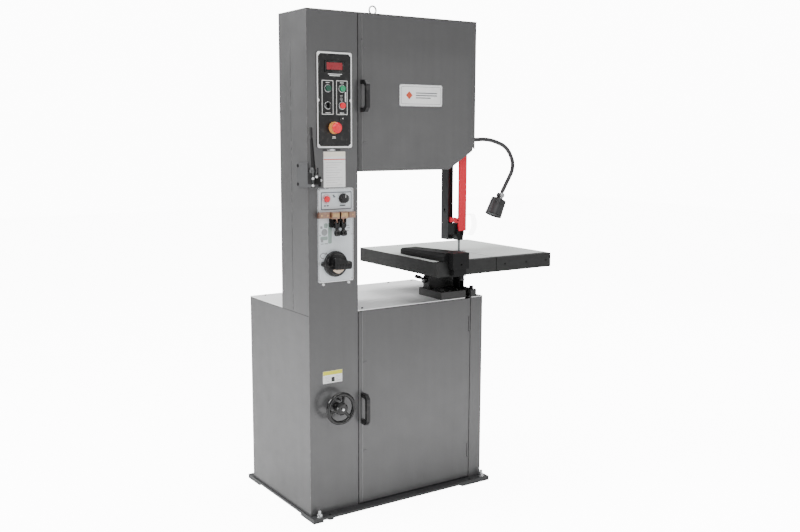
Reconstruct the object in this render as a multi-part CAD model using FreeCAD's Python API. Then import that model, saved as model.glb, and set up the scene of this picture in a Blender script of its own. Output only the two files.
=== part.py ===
import FreeCAD, Part
import math
import os

# Vertical metal-cutting band saw: welded sheet cabinet, column and head, two 560 mm band
# wheels, a tilting cast table with a rip fence, a blade welder and a variable speed drive.
# Layout frame, mm: x to the right, y to the back, z up, zero at the cabinet's front left
# bottom corner. save() moves every part so that the origin is on the floor, under the
# middle of the cabinet.

V = FreeCAD.Vector

# ---- Driving dimensions -------------------------------------------------------------
CAB_W, CAB_D, CAB_H = 846.0, 527.0, 805.0     # base cabinet
FOOT_H = 18.0                                 # floor to the underside of the cabinet
COL_W, COL_D, COL_H = 218.0, 225.0, 1950.0    # column
HEAD_R, HEAD_Z = 793.5, 1348.0                # right side and underside of the head
CHAMFER_X, CHAMFER_Z = 659.0, 1432.0          # where the head's lower corner is cut off
SHEET = 3.0                                   # panel thickness
DOOR_L, DOOR_T, DOOR_DEEP = 223.0, 2.5, 20.0  # doors: left edge, sheet, depth of the pan
ROLL_R = 4.0                                  # rolled hinge edge of a door
BASE_DOOR_R = 782.0                           # right edge of the base door
POST_L = 783.5                                # fixed corner post beside the base door
BLADE_X, BLADE_Y = 769.5, 68.5                # cutting run, middle of the table insert
BLADE_BACK = 78.5                             # back edge of the blade
BLADE_WIDE, BLADE_T = 13.0, 0.9
WHEEL_X, UPPER_Z, LOWER_Z = 489.5, 1649.0, 405.0
TYRE_R = 279.1                                # outside of the rubber tyre
RIM_R = 273.0
WHEEL_Y0, WHEEL_Y1 = 57.0, 80.0               # front and back of the wheel rims
TABLE_L, TABLE_R = 471.0, 1067.0
TABLE_Y0, TABLE_Y1 = -156.7, 397.0
TABLE_Z, TABLE_H = 996.0, 59.0
RAIL_Y = -181.7                               # front face of the fence rail
CABINET_TOP = 4.0                             # thickness of the cabinet's top plate
TILT_R = 140.0                                # saddle radius about the tilt axis
GAP = 0.5                                     # clearance between sliding castings
POST_X, POST_Y = (731.0, 756.0), (100.0, 150.0)
POST_Z = (1044.0, 1640.0)
PANEL_FRONT = -4.0                            # front face of the control panel
WELD_FRONT = -3.0                             # front face of the welder panel
MOTOR_X, MOTOR_Z = 190.0, 165.0
BELT_Y = 276.0                                # middle plane of the drive belt
DRIVEN_R, DRIVER_R = 150.0, 45.0
SPEED_X, SPEED_Z = 110.0, 434.0               # speed handwheel
ESTOP = (112.0, 1516.0)
PUSH_LEFT, PUSH_RIGHT = 85.5, 147.0           # two columns of controls
PUSH_TOP, PUSH_LOW = 1662.0, 1599.0
WELD_PUSH, WELD_KNOB = (76.0, 1249.0), (150.0, 1249.0)
ROTARY = (112.0, 998.5)
ROTARY_R = 49.5
CLAMP_X, CLAMP_Y, CLAMP_Z = (110.0, 138.0), -24.0, 1160.0
SHEAR_X, SHEAR_Y, SHEAR_Z = 3.0, -40.0, 1358.0
LAMP_X, LAMP_Y, LAMP_Z = 1020.0, 100.0, 1225.0


# ---- Helpers ------------------------------------------------------------------------
def box(x0, x1, y0, y1, z0, z1):
    return Part.makeBox(x1 - x0, y1 - y0, z1 - z0, V(x0, y0, z0))


def rod(radius, start, end):
    a, b = V(*start), V(*end)
    return Part.makeCylinder(radius, (b - a).Length, a, b - a)


def rod_y(radius, x, z, y0, y1):
    return rod(radius, (x, y0, z), (x, y1, z))


def ring_y(r_in, r_out, x, z, y0, y1):
    return rod_y(r_out, x, z, y0, y1).cut(rod_y(r_in, x, z, y0 - 1, y1 + 1))


def prism(points, direction):
    """Closed outline of 3D points pushed along a vector."""
    loop = [V(*p) for p in points]
    return Part.Face(Part.makePolygon(loop + [loop[0]])).extrude(V(*direction))


def prism_xz(points, y0, y1):
    return prism([(x, y0, z) for x, z in points], (0, y1 - y0, 0))


def prism_xy(points, z0, z1):
    return prism([(x, y, z0) for x, y in points], (0, 0, z1 - z0))


def prism_yz(points, x0, x1):
    return prism([(x0, y, z) for y, z in points], (x1 - x0, 0, 0))


def join(*solids):
    first, rest = solids[0], list(solids[1:])
    return first.fuse(rest).removeSplitter() if rest else first


def carve(solid, *tools):
    for tool in tools:
        solid = solid.cut(tool)
    return solid


def group(*solids):
    return Part.makeCompound(list(solids))


def rounded_plate(x0, x1, z0, z1, y0, y1, radius):
    """Upright plate whose four corners are rounded about Y."""
    plate = box(x0, x1, y0, y1, z0, z1)
    upright = [e for e in plate.Edges if abs(e.tangentAt(e.FirstParameter).y) > 0.99]
    return plate.makeFillet(radius, upright)


def hexagon(radius, x, y, z0, z1):
    turns = [math.radians(60 * k) for k in range(6)]
    return prism_xy([(x + radius * math.cos(t), y + radius * math.sin(t)) for t in turns], z0, z1)


def knob(radius, start, end, rounding):
    """Round bar with both rims rounded."""
    bar = rod(radius, start, end)
    rims = [e for e in bar.Edges if e.isClosed()]
    return bar.makeFillet(rounding, rims)


def save(name, shape):
    shape = shape.copy()
    shape.translate(V(-CAB_W / 2, -CAB_D / 2, FOOT_H))
    shape.exportStep("parts/%s.step" % name)


# ---- Base ---------------------------------------------------------------------------
ANCHOR_X, ANCHOR_Y = (75.0, 771.0), (-20.0, 547.0)
LEVEL_X, LEVEL_Y = (28.0, 838.0), (-20.0, 547.0)
FLANGE = (-8.0, 868.0, -38.0, 565.0)          # floor flange: left, right, front, back
LEFT_PAD, RIGHT_PAD = (44.0, 110.0), (148.0, 60.0)


def corners(xs, ys):
    return [(x, y) for x in xs for y in ys]


def base_plate():
    left, right, front, back = FLANGE
    plate = box(left, right, front, back, -10, 0)
    for wide, deep, x in ((*LEFT_PAD, left), (*RIGHT_PAD, right - RIGHT_PAD[0])):
        for y in (front, back - deep):
            plate = plate.fuse(box(x, x + wide, y, y + deep, -FOOT_H, -10))
    bosses = [rod(15, (ANCHOR_X[0], y, -FOOT_H), (ANCHOR_X[0], y, -10)) for y in ANCHOR_Y]
    plate = join(plate, *bosses)
    for x, y in corners(ANCHOR_X, ANCHOR_Y):
        plate = plate.cut(rod(7, (x, y, -FOOT_H - 1), (x, y, 1)))
    for x, y in corners(LEVEL_X, LEVEL_Y):
        plate = plate.cut(rod(6.1, (x, y, -FOOT_H - 1), (x, y, 1)))
    return plate


def levelling_bolts():
    bolts = []
    for x, y in corners(LEVEL_X, LEVEL_Y):
        stud = rod(6, (x, y, -FOOT_H), (x, y, 27))
        bolts.append(join(stud, hexagon(11, x, y, 2, 13), rod(13, (x, y, 0), (x, y, 2))))
    return group(*bolts)


BLADE_SLOT = (752.0, 787.0, 100.0)            # slot in the cabinet top: left, right, back
GLAND = (120.0, 90.0)                         # cable gland in the back panel


def base_cabinet():
    """Sheets that meet edge to face at the welds."""
    top = CAB_H - CABINET_TOP
    slot_l, slot_r, slot_back = BLADE_SLOT
    blade_way = box(slot_l, slot_r, 20, slot_back, top - 40, top + 1)
    left = box(0, SHEET, SHEET, CAB_D, 0, top)
    back = box(SHEET, CAB_W, CAB_D - SHEET, CAB_D, 0, top)
    right = box(CAB_W - SHEET, CAB_W, 0, CAB_D - SHEET, 0, top)
    post = box(POST_L, CAB_W - SHEET, 0, SHEET, 0, top)
    post_lip = box(POST_L, POST_L + SHEET, SHEET, 29, 0, top)
    sill = box(COL_W, POST_L, 26, 29, 0, 30)
    header = box(COL_W, POST_L, 26, 29, top - 30, top)
    back = join(back, rod_y(20, *GLAND, CAB_D, CAB_D + 18))
    back = carve(back, rod_y(8, *GLAND, CAB_D - 10, CAB_D + 20))
    for row in range(8):                      # motor cooling slots in the back panel
        z = 180 + 24 * row
        back = back.cut(box(110, 270, CAB_D - 10, CAB_D + 1, z, z + 8))
    return group(left, back, right, post, carve(post_lip, blade_way), sill, carve(header, blade_way))


def base_top():
    plate = box(0, CAB_W, 0, CAB_D, CAB_H - CABINET_TOP, CAB_H)
    slot_l, slot_r, slot_back = BLADE_SLOT
    return carve(plate, box(-1, COL_W, -1, COL_D, 0, COL_H),
                 box(slot_l, slot_r, -1, slot_back, 0, COL_H))


# ---- Column and head ----------------------------------------------------------------
def column_shell():
    """Front, left, back, right and top sheets, and the lip behind the door's edge."""
    low, high = CAB_H - CABINET_TOP, COL_H - SHEET
    front = box(0, COL_W, 0, SHEET, 0, high)
    front = join(front, rod_y(26, SPEED_X, SPEED_Z, -12, 0))
    front = carve(front, rod_y(10.08, SPEED_X, SPEED_Z, -20, 10))
    for x in (PUSH_LEFT, PUSH_RIGHT):
        for z in (PUSH_TOP, PUSH_LOW):
            front = front.cut(rod_y(8, x, z, -1, 5))
    front = carve(front, rod_y(9, *ESTOP, -1, 5), rod_y(7, *WELD_PUSH, -1, 5))
    front = carve(front, rod_y(7, *WELD_KNOB, -1, 5), rod_y(9, *ROTARY, -1, 5))
    lip = box(COL_W - SHEET, COL_W, SHEET, DOOR_DEEP + 2, 0, low)
    left = box(0, SHEET, SHEET, COL_D, low, high)
    left = left.cut(box(-1, 1, 128, 131, 809, 1838))
    back = box(SHEET, COL_W - SHEET, COL_D - SHEET, COL_D, low, high)
    right = box(COL_W - SHEET, COL_W, SHEET, COL_D, low, HEAD_Z + SHEET)
    upper_lip = box(COL_W - SHEET, COL_W, SHEET, DOOR_DEEP + 2, HEAD_Z + SHEET, high)
    rear_lip = box(COL_W - SHEET, COL_W, COL_D - SHEET, COL_D, HEAD_Z + SHEET, high)
    top = box(0, COL_W, 0, COL_D, high, COL_H)
    return group(front, lip, left, back, right, upper_lip, rear_lip, top)


def head_outline(inset):
    """Front outline of the head, moved inwards; the left side stays open to the column."""
    run, rise = HEAD_R - CHAMFER_X, CHAMFER_Z - HEAD_Z
    slope = rise / run
    lift = inset * math.hypot(run, rise) / run          # inset measured straight up
    low_x = CHAMFER_X + (inset - lift) / slope
    right_z = HEAD_Z + lift + (HEAD_R - inset - CHAMFER_X) * slope
    return low_x, right_z


LUG_TOP = CHAMFER_Z + 4.0                     # upper face of the head door's lower lug


def head_housing():
    low_x, right_z = head_outline(SHEET)
    outside = [(COL_W, HEAD_Z), (CHAMFER_X, HEAD_Z), (HEAD_R, CHAMFER_Z),
               (HEAD_R, COL_H), (COL_W, COL_H)]
    inside = [(COL_W - 1, HEAD_Z + SHEET), (low_x, HEAD_Z + SHEET),
              (HEAD_R - SHEET, right_z), (HEAD_R - SHEET, COL_H - SHEET),
              (COL_W - 1, COL_H - SHEET)]
    front = DOOR_DEEP + 2
    shell = prism_xz(outside, front, COL_D).cut(prism_xz(inside, front - 1, COL_D - SHEET))
    brow = box(COL_W, HEAD_R, 0, front, COL_H - SHEET, COL_H)
    lug = box(HEAD_R - 12, HEAD_R, 0, front + 3, CHAMFER_Z + 1, LUG_TOP)
    shell = join(shell, brow, lug)
    return shell.cut(box(700, HEAD_R - SHEET - 0.1, 36, 160, HEAD_Z - 8, CHAMFER_Z + 8))


HINGE_ZONES = ((94.0, 161.0), (656.0, 723.0))
BASE_PIN_X, HEAD_PIN_X = BASE_DOOR_R - ROLL_R, HEAD_R - ROLL_R
PIN_R = 2.0
DOOR_TOP = COL_H - SHEET - 1.0


def hinge_pins():
    pins = []
    for z0, z1 in HINGE_ZONES:
        knuckle = rod(ROLL_R, (BASE_PIN_X, ROLL_R, z0 + 1), (BASE_PIN_X, ROLL_R, z1 - 1))
        pin = rod(PIN_R, (BASE_PIN_X, ROLL_R, z0 - 14), (BASE_PIN_X, ROLL_R, z1 + 14))
        strap = box(BASE_PIN_X, POST_L, 4.5, 7.5, z0 + 8, z1 - 8)
        pins.append(join(knuckle, pin, strap))
    for z0, z1 in ((LUG_TOP, LUG_TOP + 12), (DOOR_TOP - 11, COL_H - SHEET)):
        pins.append(rod(PIN_R, (HEAD_PIN_X, ROLL_R, z0), (HEAD_PIN_X, ROLL_R, z1)))
    return group(*pins)


def left_margin(z0, z1):
    """Bevelled finger edge down the left side of a door, with its rear flange."""
    bevel = [(DOOR_L, 3), (DOOR_L + 13, 0), (DOOR_L + 13, DOOR_T), (DOOR_L + 2.5, DOOR_T + 2.5),
             (DOOR_L + 2.5, DOOR_DEEP), (DOOR_L, DOOR_DEEP)]
    return prism_xy(bevel, z0, z1)


def base_door():
    z0, z1 = 5.0, CAB_H - CABINET_TOP - 2
    pin = (BASE_PIN_X, ROLL_R)
    sheet = box(DOOR_L + 13, BASE_PIN_X, 0, DOOR_T, z0, z1)
    roll = rod(ROLL_R, (*pin, z0), (*pin, z1))
    lower = box(DOOR_L + 2, BASE_PIN_X - 18, DOOR_T - 0.5, DOOR_DEEP, z0, z0 + DOOR_T)
    upper = box(DOOR_L + 2, BASE_PIN_X - 18, DOOR_T - 0.5, DOOR_DEEP, z1 - DOOR_T, z1)
    door = join(sheet, left_margin(z0, z1), roll, lower, upper)
    for low, high in HINGE_ZONES:
        door = door.cut(box(BASE_PIN_X - 7.5, BASE_DOOR_R + 1, -1, 9, low, high))
        door = door.cut(rod(PIN_R + 0.05, (*pin, low - 15), (*pin, high + 15)))
    return door


def head_door():
    low_x, right_z = head_outline(1.5)
    z0 = HEAD_Z + 1.5
    bounds = [(DOOR_L + 13, z0), (low_x, z0), (HEAD_PIN_X, right_z - 2.6),
              (HEAD_PIN_X, DOOR_TOP), (DOOR_L + 13, DOOR_TOP)]
    sheet = prism_xz(bounds, 0, DOOR_T)
    rear = box(DOOR_L + 2, HEAD_PIN_X - 18, DOOR_T - 0.5, DOOR_DEEP, DOOR_TOP - DOOR_T, DOOR_TOP)
    lower = box(DOOR_L + 2, low_x, DOOR_T - 0.5, DOOR_DEEP, z0, z0 + DOOR_T)
    slope = [(low_x, z0), (HEAD_PIN_X - 18, z0 + (HEAD_PIN_X - 18 - low_x) * (right_z - z0)
              / (HEAD_R - 1.5 - low_x))]
    slope += [(slope[1][0], slope[1][1] + 3), (low_x, z0 + 3)]
    cut_edge = prism_xz(slope, DOOR_T - 0.5, DOOR_DEEP)
    pin = (HEAD_PIN_X, ROLL_R)
    roll = rod(ROLL_R, (*pin, LUG_TOP + 1), (*pin, DOOR_TOP))
    door = join(sheet, left_margin(z0, DOOR_TOP), rear, lower, cut_edge, roll)
    lug_space = box(HEAD_R - 14, HEAD_R + 1, -1, DOOR_DEEP + 1, CHAMFER_Z - 20, LUG_TOP + 1)
    return carve(door, lug_space, rod(PIN_R + 0.05, (*pin, LUG_TOP), (*pin, LUG_TOP + 13)),
                 rod(PIN_R + 0.05, (*pin, DOOR_TOP - 12), (*pin, DOOR_TOP + 1)))


HANDLE_X, HANDLE_OUT = 239.0, -45.0
HEAD_HANDLE_Z, BASE_HANDLE_Z = (1577.0, 1698.0), (340.0, 465.0)


def door_handle(z0, z1):
    """Moulded bow handle with chamfered shoulders and two mounting feet."""
    bow = [(0, z0), (-30, z0), (HANDLE_OUT, z0 + 17), (HANDLE_OUT, z1 - 17), (-30, z1), (0, z1),
           (0, z1 - 16), (-25, z1 - 16), (HANDLE_OUT + 13, z1 - 25),
           (HANDLE_OUT + 13, z0 + 25), (-25, z0 + 16), (0, z0 + 16)]
    return prism_yz(bow, HANDLE_X - 8, HANDLE_X + 8)


def lifting_eye():
    x, y = 340.0, 85.0
    ring = Part.makeTorus(15.5, 3.5, V(x, y, COL_H + 23), V(0, 1, 0))
    collar = rod(11, (x, y, COL_H), (x, y, COL_H + 5))
    return join(collar, rod(6, (x, y, COL_H), (x, y, COL_H + 8)), ring)


def nameplate():
    return rounded_plate(410, 618, 1603, 1688, -2.5, 0, 8)


# ---- Controls -----------------------------------------------------------------------
def control_panel():
    plate = rounded_plate(40, 191, 1441, 1796, PANEL_FRONT, 0, 8)
    for x in (PUSH_LEFT, PUSH_RIGHT):
        for z in (PUSH_TOP, PUSH_LOW):
            plate = plate.cut(rod_y(8, x, z, PANEL_FRONT - 1, 1))
    collar = rod_y(21, *ESTOP, PANEL_FRONT - 9, PANEL_FRONT)
    return carve(join(plate, collar), rod_y(9, *ESTOP, -20, 1))


def display_lens():
    return rounded_plate(79, 152, 1726, 1760, PANEL_FRONT - 1.5, PANEL_FRONT, 2)


def push_button(x, z, radius, face, stem):
    """Cap standing 5 mm off its panel, on a stem through the panel."""
    cap = rod_y(radius, x, z, face - 12, face - 5)
    rim = [e for e in cap.Edges if abs(e.BoundBox.YMin - (face - 12)) < 0.01
           and abs(e.BoundBox.YMax - (face - 12)) < 0.01]
    return join(cap.makeFillet(1.5, rim), rod_y(stem, x, z, face - 6, 14))


def selector_switch():
    x, z = PUSH_LEFT, PUSH_LOW
    face = PANEL_FRONT
    dial = rod_y(11, x, z, face - 10, face - 5)
    wing = box(x - 3.5, x + 3.5, face - 20, face - 9, z - 11, z + 11)
    return join(dial, wing, rod_y(6, x, z, face - 6, 14))


def estop_button():
    x, z = ESTOP
    face = PANEL_FRONT
    dome = rod_y(20, x, z, face - 32, face - 18)
    rim = [e for e in dome.Edges if e.BoundBox.YMax < face - 31]
    return join(dome.makeFillet(8, rim), rod_y(7, x, z, face - 20, 16))


def welder_panel():
    plate = rounded_plate(40, 197, 928, 1290, WELD_FRONT, 0, 8)
    frame = box(53, 188, WELD_FRONT - 1.5, WELD_FRONT, 1207, 1275)
    plate = join(plate, frame)
    return carve(plate, rod_y(6.5, *WELD_PUSH, -10, 1), rod_y(4.05, *WELD_KNOB, -10, 1),
                 rod_y(8.05, *ROTARY, -10, 1))


def weld_knob():
    x, z = WELD_KNOB
    face = WELD_FRONT - 1.5
    knob = rod_y(16, x, z, face - 21, face - 2)
    for k in range(12):
        turn = math.radians(30 * k + 15)
        knob = knob.cut(rod_y(2.2, x + 16.6 * math.cos(turn), z + 16.6 * math.sin(turn),
                              face - 22, face - 6))
    return join(knob, rod_y(4, x, z, face - 3, 8))


def rotary_switch():
    """Round switch body with a wedge grip and a lug for a padlock."""
    x, z = ROTARY
    face = WELD_FRONT
    disc = rod_y(ROTARY_R, x, z, face - 16, face - 1)
    rim = [e for e in disc.Edges if e.BoundBox.YMax < face - 15]
    disc = disc.makeFillet(4, rim)
    wedge = [(x - 24, z - 18), (x + 51, z - 18), (x + 51, z + 10), (x - 24, z + 32)]
    grip = prism_xz(wedge, face - 46, face - 14)
    grip = grip.makeFillet(7, [e for e in grip.Edges if abs(e.tangentAt(0).y) > 0.99])
    step = rod_y(37, x, z, face - 20, face - 14)
    lug = rod_y(10, x - 52, z + 2, face - 14, face - 2)
    bridge = box(x - 53, x - 36, face - 12, face - 4, z - 6, z + 10)
    return join(disc, step, grip, lug, bridge, rod_y(8, x, z, face - 2, 20))


def weld_jaws():
    """Jaw bar with a fixed left block, two clamping jaws and a blade stop."""
    z0, z1 = 1174.0, 1200.0
    bar = box(35, 192, -14, WELD_FRONT, z0 + 3, z1 - 3)
    left_bar = box(36, 82, -24, -14, z0 + 3, z1)
    jaws = [box(x0, x1, -34, -14, z0, z1) for x0, x1 in ((85.0, 118.0), (124.0, 156.0))]
    stop = box(165, 192, -26, -14, z0 + 1, z1 - 2)
    mounts = [rod(4, (x, CLAMP_Y, CLAMP_Z), (x, CLAMP_Y, z0)) for x in CLAMP_X]
    pins = [rod(3, (x - 9, CLAMP_Y, CLAMP_Z), (x + 9, CLAMP_Y, CLAMP_Z)) for x in CLAMP_X]
    return join(bar, left_bar, stop, *jaws, *mounts, *pins)


def clamp_lever(x):
    """Eccentric hub in two cheeks on the jaw's cross pin, with a ball-ended arm."""
    y, z = CLAMP_Y, CLAMP_Z
    cheeks = [rod(8.5, (x + a, y, z), (x + b, y, z)) for a, b in ((-9, -4.6), (4.6, 9))]
    web = box(x - 9, x + 9, y - 7, y + 7, z - 22, z - 5)
    arm = rod(6.5, (x, y, z - 18), (x, y - 5, z - 36))
    lever = join(*cheeks, web, arm, knob(12.5, (x, y - 4, z - 30), (x, y - 7, z - 53), 7))
    space = rod(8.6, (x - 4.6, y, z), (x + 4.6, y, z))
    return carve(lever, space, rod(3.05, (x - 10, y, z), (x + 10, y, z)))


# ---- Blade shear --------------------------------------------------------------------
SHEAR_HALF = 3.0                              # half thickness of the shear's lever
SHEAR_LEAN = math.radians(7)


def shear_bracket():
    """Side plate, fixed jaw block and two cheeks with the lever's cross pin."""
    x, y, z = SHEAR_X, SHEAR_Y, SHEAR_Z
    side = box(-6, 0, -11, 75, 1293, 1386)
    block = box(-6, 20, -46, 0, 1296, 1342)
    slot = box(x - 1.5, x + 1.5, -47, -12, 1290, 1330)
    inner, outer = SHEAR_HALF + GAP, SHEAR_HALF + 6
    cheeks = []
    for a, b in ((x - outer, x - inner), (x + inner, x + outer)):
        cheeks.append(rod(13, (a, y, z), (b, y, z)))
        cheeks.append(box(a, b, y - 10, y + 14, 1340, z))
    pin = rod(4, (x - outer - 2, y, z), (x + outer + 2, y, z))
    return join(carve(block, slot), side, *cheeks, pin)


def shear_lever():
    x, y, z = SHEAR_X, SHEAR_Y, SHEAR_Z
    hub = rod(12.5, (x - SHEAR_HALF, y, z), (x + SHEAR_HALF, y, z))
    up = V(0, math.sin(SHEAR_LEAN), math.cos(SHEAR_LEAN))
    side = V(0, math.cos(SHEAR_LEAN), -math.sin(SHEAR_LEAN))
    foot, tip = V(x, y, z), V(x, y, z) + up * 122
    outline = [foot - side * 12, foot + side * 12, tip + side * 6, tip - side * 6]
    arm = prism_yz([(p.y, p.z) for p in outline], x - SHEAR_HALF, x + SHEAR_HALF)
    grip = Part.makeCone(4.6, 6.2, 40, foot + up * 117, up)
    return join(hub, arm, grip).cut(rod(4.05, (x - 10, y, z), (x + 10, y, z)))


# ---- Table --------------------------------------------------------------------------
SLOT_HALF = 1.5
INSERT_R, INSERT_T = 30.0, 5.0
SADDLE_Y = (118.0, 160.0)
SADDLE_L, SADDLE_R = 646.0, 791.0
LOCK_X, LOCK_Y, LOCK_Z = SADDLE_L, 139.0, 872.0
LOCK_STUD = 8.0


def table_casting():
    bottom, skirt, deck = TABLE_Z - TABLE_H, 12.0, 14.0
    block = box(TABLE_L, TABLE_R, TABLE_Y0, TABLE_Y1, bottom, TABLE_Z)
    hollow = box(TABLE_L + skirt, TABLE_R - skirt, TABLE_Y0 + skirt, TABLE_Y1 - skirt,
                 bottom - 1, TABLE_Z - deck)
    ribs = [box(x, x + 10, TABLE_Y0 + skirt, TABLE_Y1 - skirt, TABLE_Z - 40, TABLE_Z - deck)
            for x in (600.0, 930.0)]
    ribs.append(box(600, 940, 300, 310, TABLE_Z - 40, TABLE_Z - deck))
    boss = box(655, 800, SADDLE_Y[0] - 8, SADDLE_Y[1] + 8, bottom, TABLE_Z - deck)
    body = join(block.cut(hollow), *ribs, boss)
    slot = box(BLADE_X - SLOT_HALF, BLADE_X + SLOT_HALF, TABLE_Y0 - 1, BLADE_Y, bottom - 1,
               TABLE_Z + 1)
    seat = rod(INSERT_R, (BLADE_X, BLADE_Y, TABLE_Z - INSERT_T), (BLADE_X, BLADE_Y, TABLE_Z + 1))
    hole = rod(24, (BLADE_X, BLADE_Y, bottom - 1), (BLADE_X, BLADE_Y, TABLE_Z))
    return carve(body, slot, seat, hole)


def table_insert():
    disc = rod(INSERT_R, (BLADE_X, BLADE_Y, TABLE_Z - INSERT_T), (BLADE_X, BLADE_Y, TABLE_Z))
    window = box(BLADE_X - 3, BLADE_X + 3, BLADE_Y - INSERT_R - 1, BLADE_Y + 14,
                 TABLE_Z - INSERT_T - 1, TABLE_Z + 1)
    return disc.cut(window)


def table_rail():
    """Ground fence rail in two lengths, parted at the blade slot."""
    z0, z1 = TABLE_Z - TABLE_H, TABLE_Z - GAP
    left = box(TABLE_L, BLADE_X - SLOT_HALF, RAIL_Y, TABLE_Y0, z0, z1)
    right = box(BLADE_X + SLOT_HALF, TABLE_R, RAIL_Y, TABLE_Y0, z0, z1)
    return group(left, right)


def sector_space(radius, y0, y1):
    return rod_y(radius, BLADE_X, TABLE_Z, y0, y1)


TRUNNION_TOP = CAB_H + 31.0


def trunnion_base():
    y0, y1 = SADDLE_Y
    plate = box(628, 813, 2, 167, CAB_H, TRUNNION_TOP)
    plate = plate.cut(box(756, 784, 0, 97, CAB_H - 1, TRUNNION_TOP + 1))
    saddle = prism_xz([(SADDLE_L, TRUNNION_TOP), (SADDLE_R, TRUNNION_TOP), (SADDLE_R, 866),
                       (700, 914), (664, 901), (SADDLE_L, 886)], y0, y1)
    stud_hole = rod(LOCK_STUD + 0.05, (LOCK_X - 1, LOCK_Y, LOCK_Z), (LOCK_X + 32, LOCK_Y, LOCK_Z))
    return join(plate, saddle).cut(sector_space(TILT_R, y0 - 1, y1 + 1)).cut(stud_hole)


def trunnion_bolts():
    bolts = []
    for x, y in ((643, 18), (798, 18), (643, 106), (798, 106)):
        head = rod(9, (x, y, TRUNNION_TOP), (x, y, TRUNNION_TOP + 13))
        bolts.append(head.cut(hexagon(5, x, y, TRUNNION_TOP + 6, TRUNNION_TOP + 14)))
    return group(*bolts)


def tilt_rocker():
    """Rocker under the table, whose round face slides in the saddle."""
    y0, y1 = SADDLE_Y
    top = TABLE_Z - TABLE_H
    block = box(BLADE_X - 104, SADDLE_R, y0, y1, top - 100, top)
    return block.common(sector_space(TILT_R - GAP, y0, y1))


def tilt_lock_lever():
    """Clamping lever on a stud screwed into the left of the saddle."""
    x, y, z = LOCK_X - GAP, LOCK_Y, LOCK_Z
    stud = rod(LOCK_STUD, (x, y, z), (x + 30, y, z))
    hub = rod(13, (x - 16, y, z), (x, y, z))
    arm = rod(5.5, (x - 8, y, z), (x - 30, y, z + 13))
    grip = knob(8, (x - 26, y, z + 11), (x - 56, y, z + 20), 4)
    return join(stud, hub, arm, grip)


FENCE_BACK, FENCE_FRONT = 119.0, -183.0


def fence_body():
    low = TABLE_Z + GAP
    plan = [(499, FENCE_BACK), (578, FENCE_BACK), (602, FENCE_FRONT), (499, FENCE_FRONT)]
    bar = prism_xy(plan, low, TABLE_Z + 36)
    slant = [(FENCE_BACK + 1, 1022), (FENCE_FRONT - 40, 1032), (FENCE_FRONT - 40, 1060),
             (FENCE_BACK + 1, 1060)]
    bevel = prism_xz([(498, 1014), (510, 1026), (510, 1060), (498, 1060)],
                     FENCE_FRONT - 1, FENCE_BACK + 1)
    head = box(523, 602, -215, FENCE_FRONT, 967, TABLE_Z + 36)
    toe = box(534, 594, -207, FENCE_FRONT, 938, 967)
    lock = rod(7, (583, -197, 926), (583, -197, 938))
    fence = carve(join(bar, head), prism_yz(slant, 490, 620), bevel)
    return join(fence, toe, lock).cut(rod_y(4, 565, 985, -216, -205))


# ---- Blade guides -------------------------------------------------------------------
def guide_post():
    post = box(*POST_X, *POST_Y, *POST_Z)
    groove = box(739, 748, POST_Y[0] - 1, POST_Y[0] + 3, 1142, POST_Z[1] + 1)
    return carve(post, groove, rod(5, (POST_X[0] - 1, 125, 1172), (POST_X[1] + 1, 125, 1172)))


def upper_guide():
    """Guide block on the post, two side jaws and the thrust roller behind the blade."""
    y_back = POST_Y[0]
    block = box(POST_X[0], 783, 58, y_back, 1068, 1116)
    block = block.cut(box(BLADE_X - 4, BLADE_X + 4, 50, 84, 1060, 1120))
    nose = prism_xz([(742, 1068), (757, 1044), (781, 1044), (783, 1068)], 58, y_back)
    slot = box(BLADE_X - 0.9, BLADE_X + 0.9, 50, 80, 1040, 1070)
    pocket = box(BLADE_X - 6, BLADE_X + 6, 79, 98, 1078, 1106)
    roller = rod(8, (BLADE_X - 4, 89, 1092), (BLADE_X + 4, 89, 1092))
    pin = rod(3, (BLADE_X - 10, 89, 1092), (BLADE_X + 10, 89, 1092))
    return join(carve(join(block, nose), slot, pocket), roller, pin)


GUARD_X, GUARD_Y, GUARD_Z = (749.0, 789.0), 48.0, (1084.6, 1450.0)


def blade_guard():
    x0, x1 = GUARD_X
    web = box(x0, x1, GUARD_Y, GUARD_Y + 2.5, *GUARD_Z)
    lip = box(x0, x0 + 2, GUARD_Y, GUARD_Y + 7, *GUARD_Z)
    flange = box(x1 - 2, x1, GUARD_Y, 95, *GUARD_Z)
    arm = box(738, x0 + 2, GUARD_Y, POST_Y[0], 1120, 1140)
    return join(web, lip, flange, arm)


def chip_shield():
    """Clear curved shield at the right of the guides."""
    centre, radius = (776.0, 1113.0), 65.0
    y0, y1 = 40.0, 74.0
    ring = ring_y(radius - 2, radius, *centre, y0, y1)
    spread = [(math.radians(a)) for a in (-50, 40)]
    far = [(centre[0] + 3 * radius * math.cos(a), centre[1] + 3 * radius * math.sin(a))
           for a in spread]
    shell = ring.common(prism_xz([centre, *far], y0, y1))
    tab = box(GUARD_X[1], 826, y0 + 12, y0 + 26, 1151, 1153.5)
    return join(shell, tab)


def post_bracket():
    outer = box(719, 768, 88, COL_D - SHEET, 1440, 1520)
    return outer.cut(box(POST_X[0] - 0.2, POST_X[1] + 0.2, POST_Y[0] - 0.2, POST_Y[1] + 0.2,
                         1430, 1530))


def lower_blade_guard():
    x0, x1, y0, y1 = 757.5, 782.0, 48.0, 95.0
    channel = box(x0, x1, y0, y1, 780, 932).cut(box(x0 + 2, x1 - 2, y0 - 1, y1 - 3, 770, 940))
    jaws = [box(a, b, 56, y1 - 3, 900, 930)
            for a, b in ((x0 + 2, BLADE_X - 0.9), (BLADE_X + 0.9, x1 - 2))]
    bridge = box(x0 + 2, x1 - 2, 80, y1 - 3, 900, 930)
    foot = box(x0 - 12, x1 + 8, y1 - 3, y1 + 10, CAB_H - CABINET_TOP - 5, CAB_H - CABINET_TOP)
    return join(channel, *jaws, bridge, foot)


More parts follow.
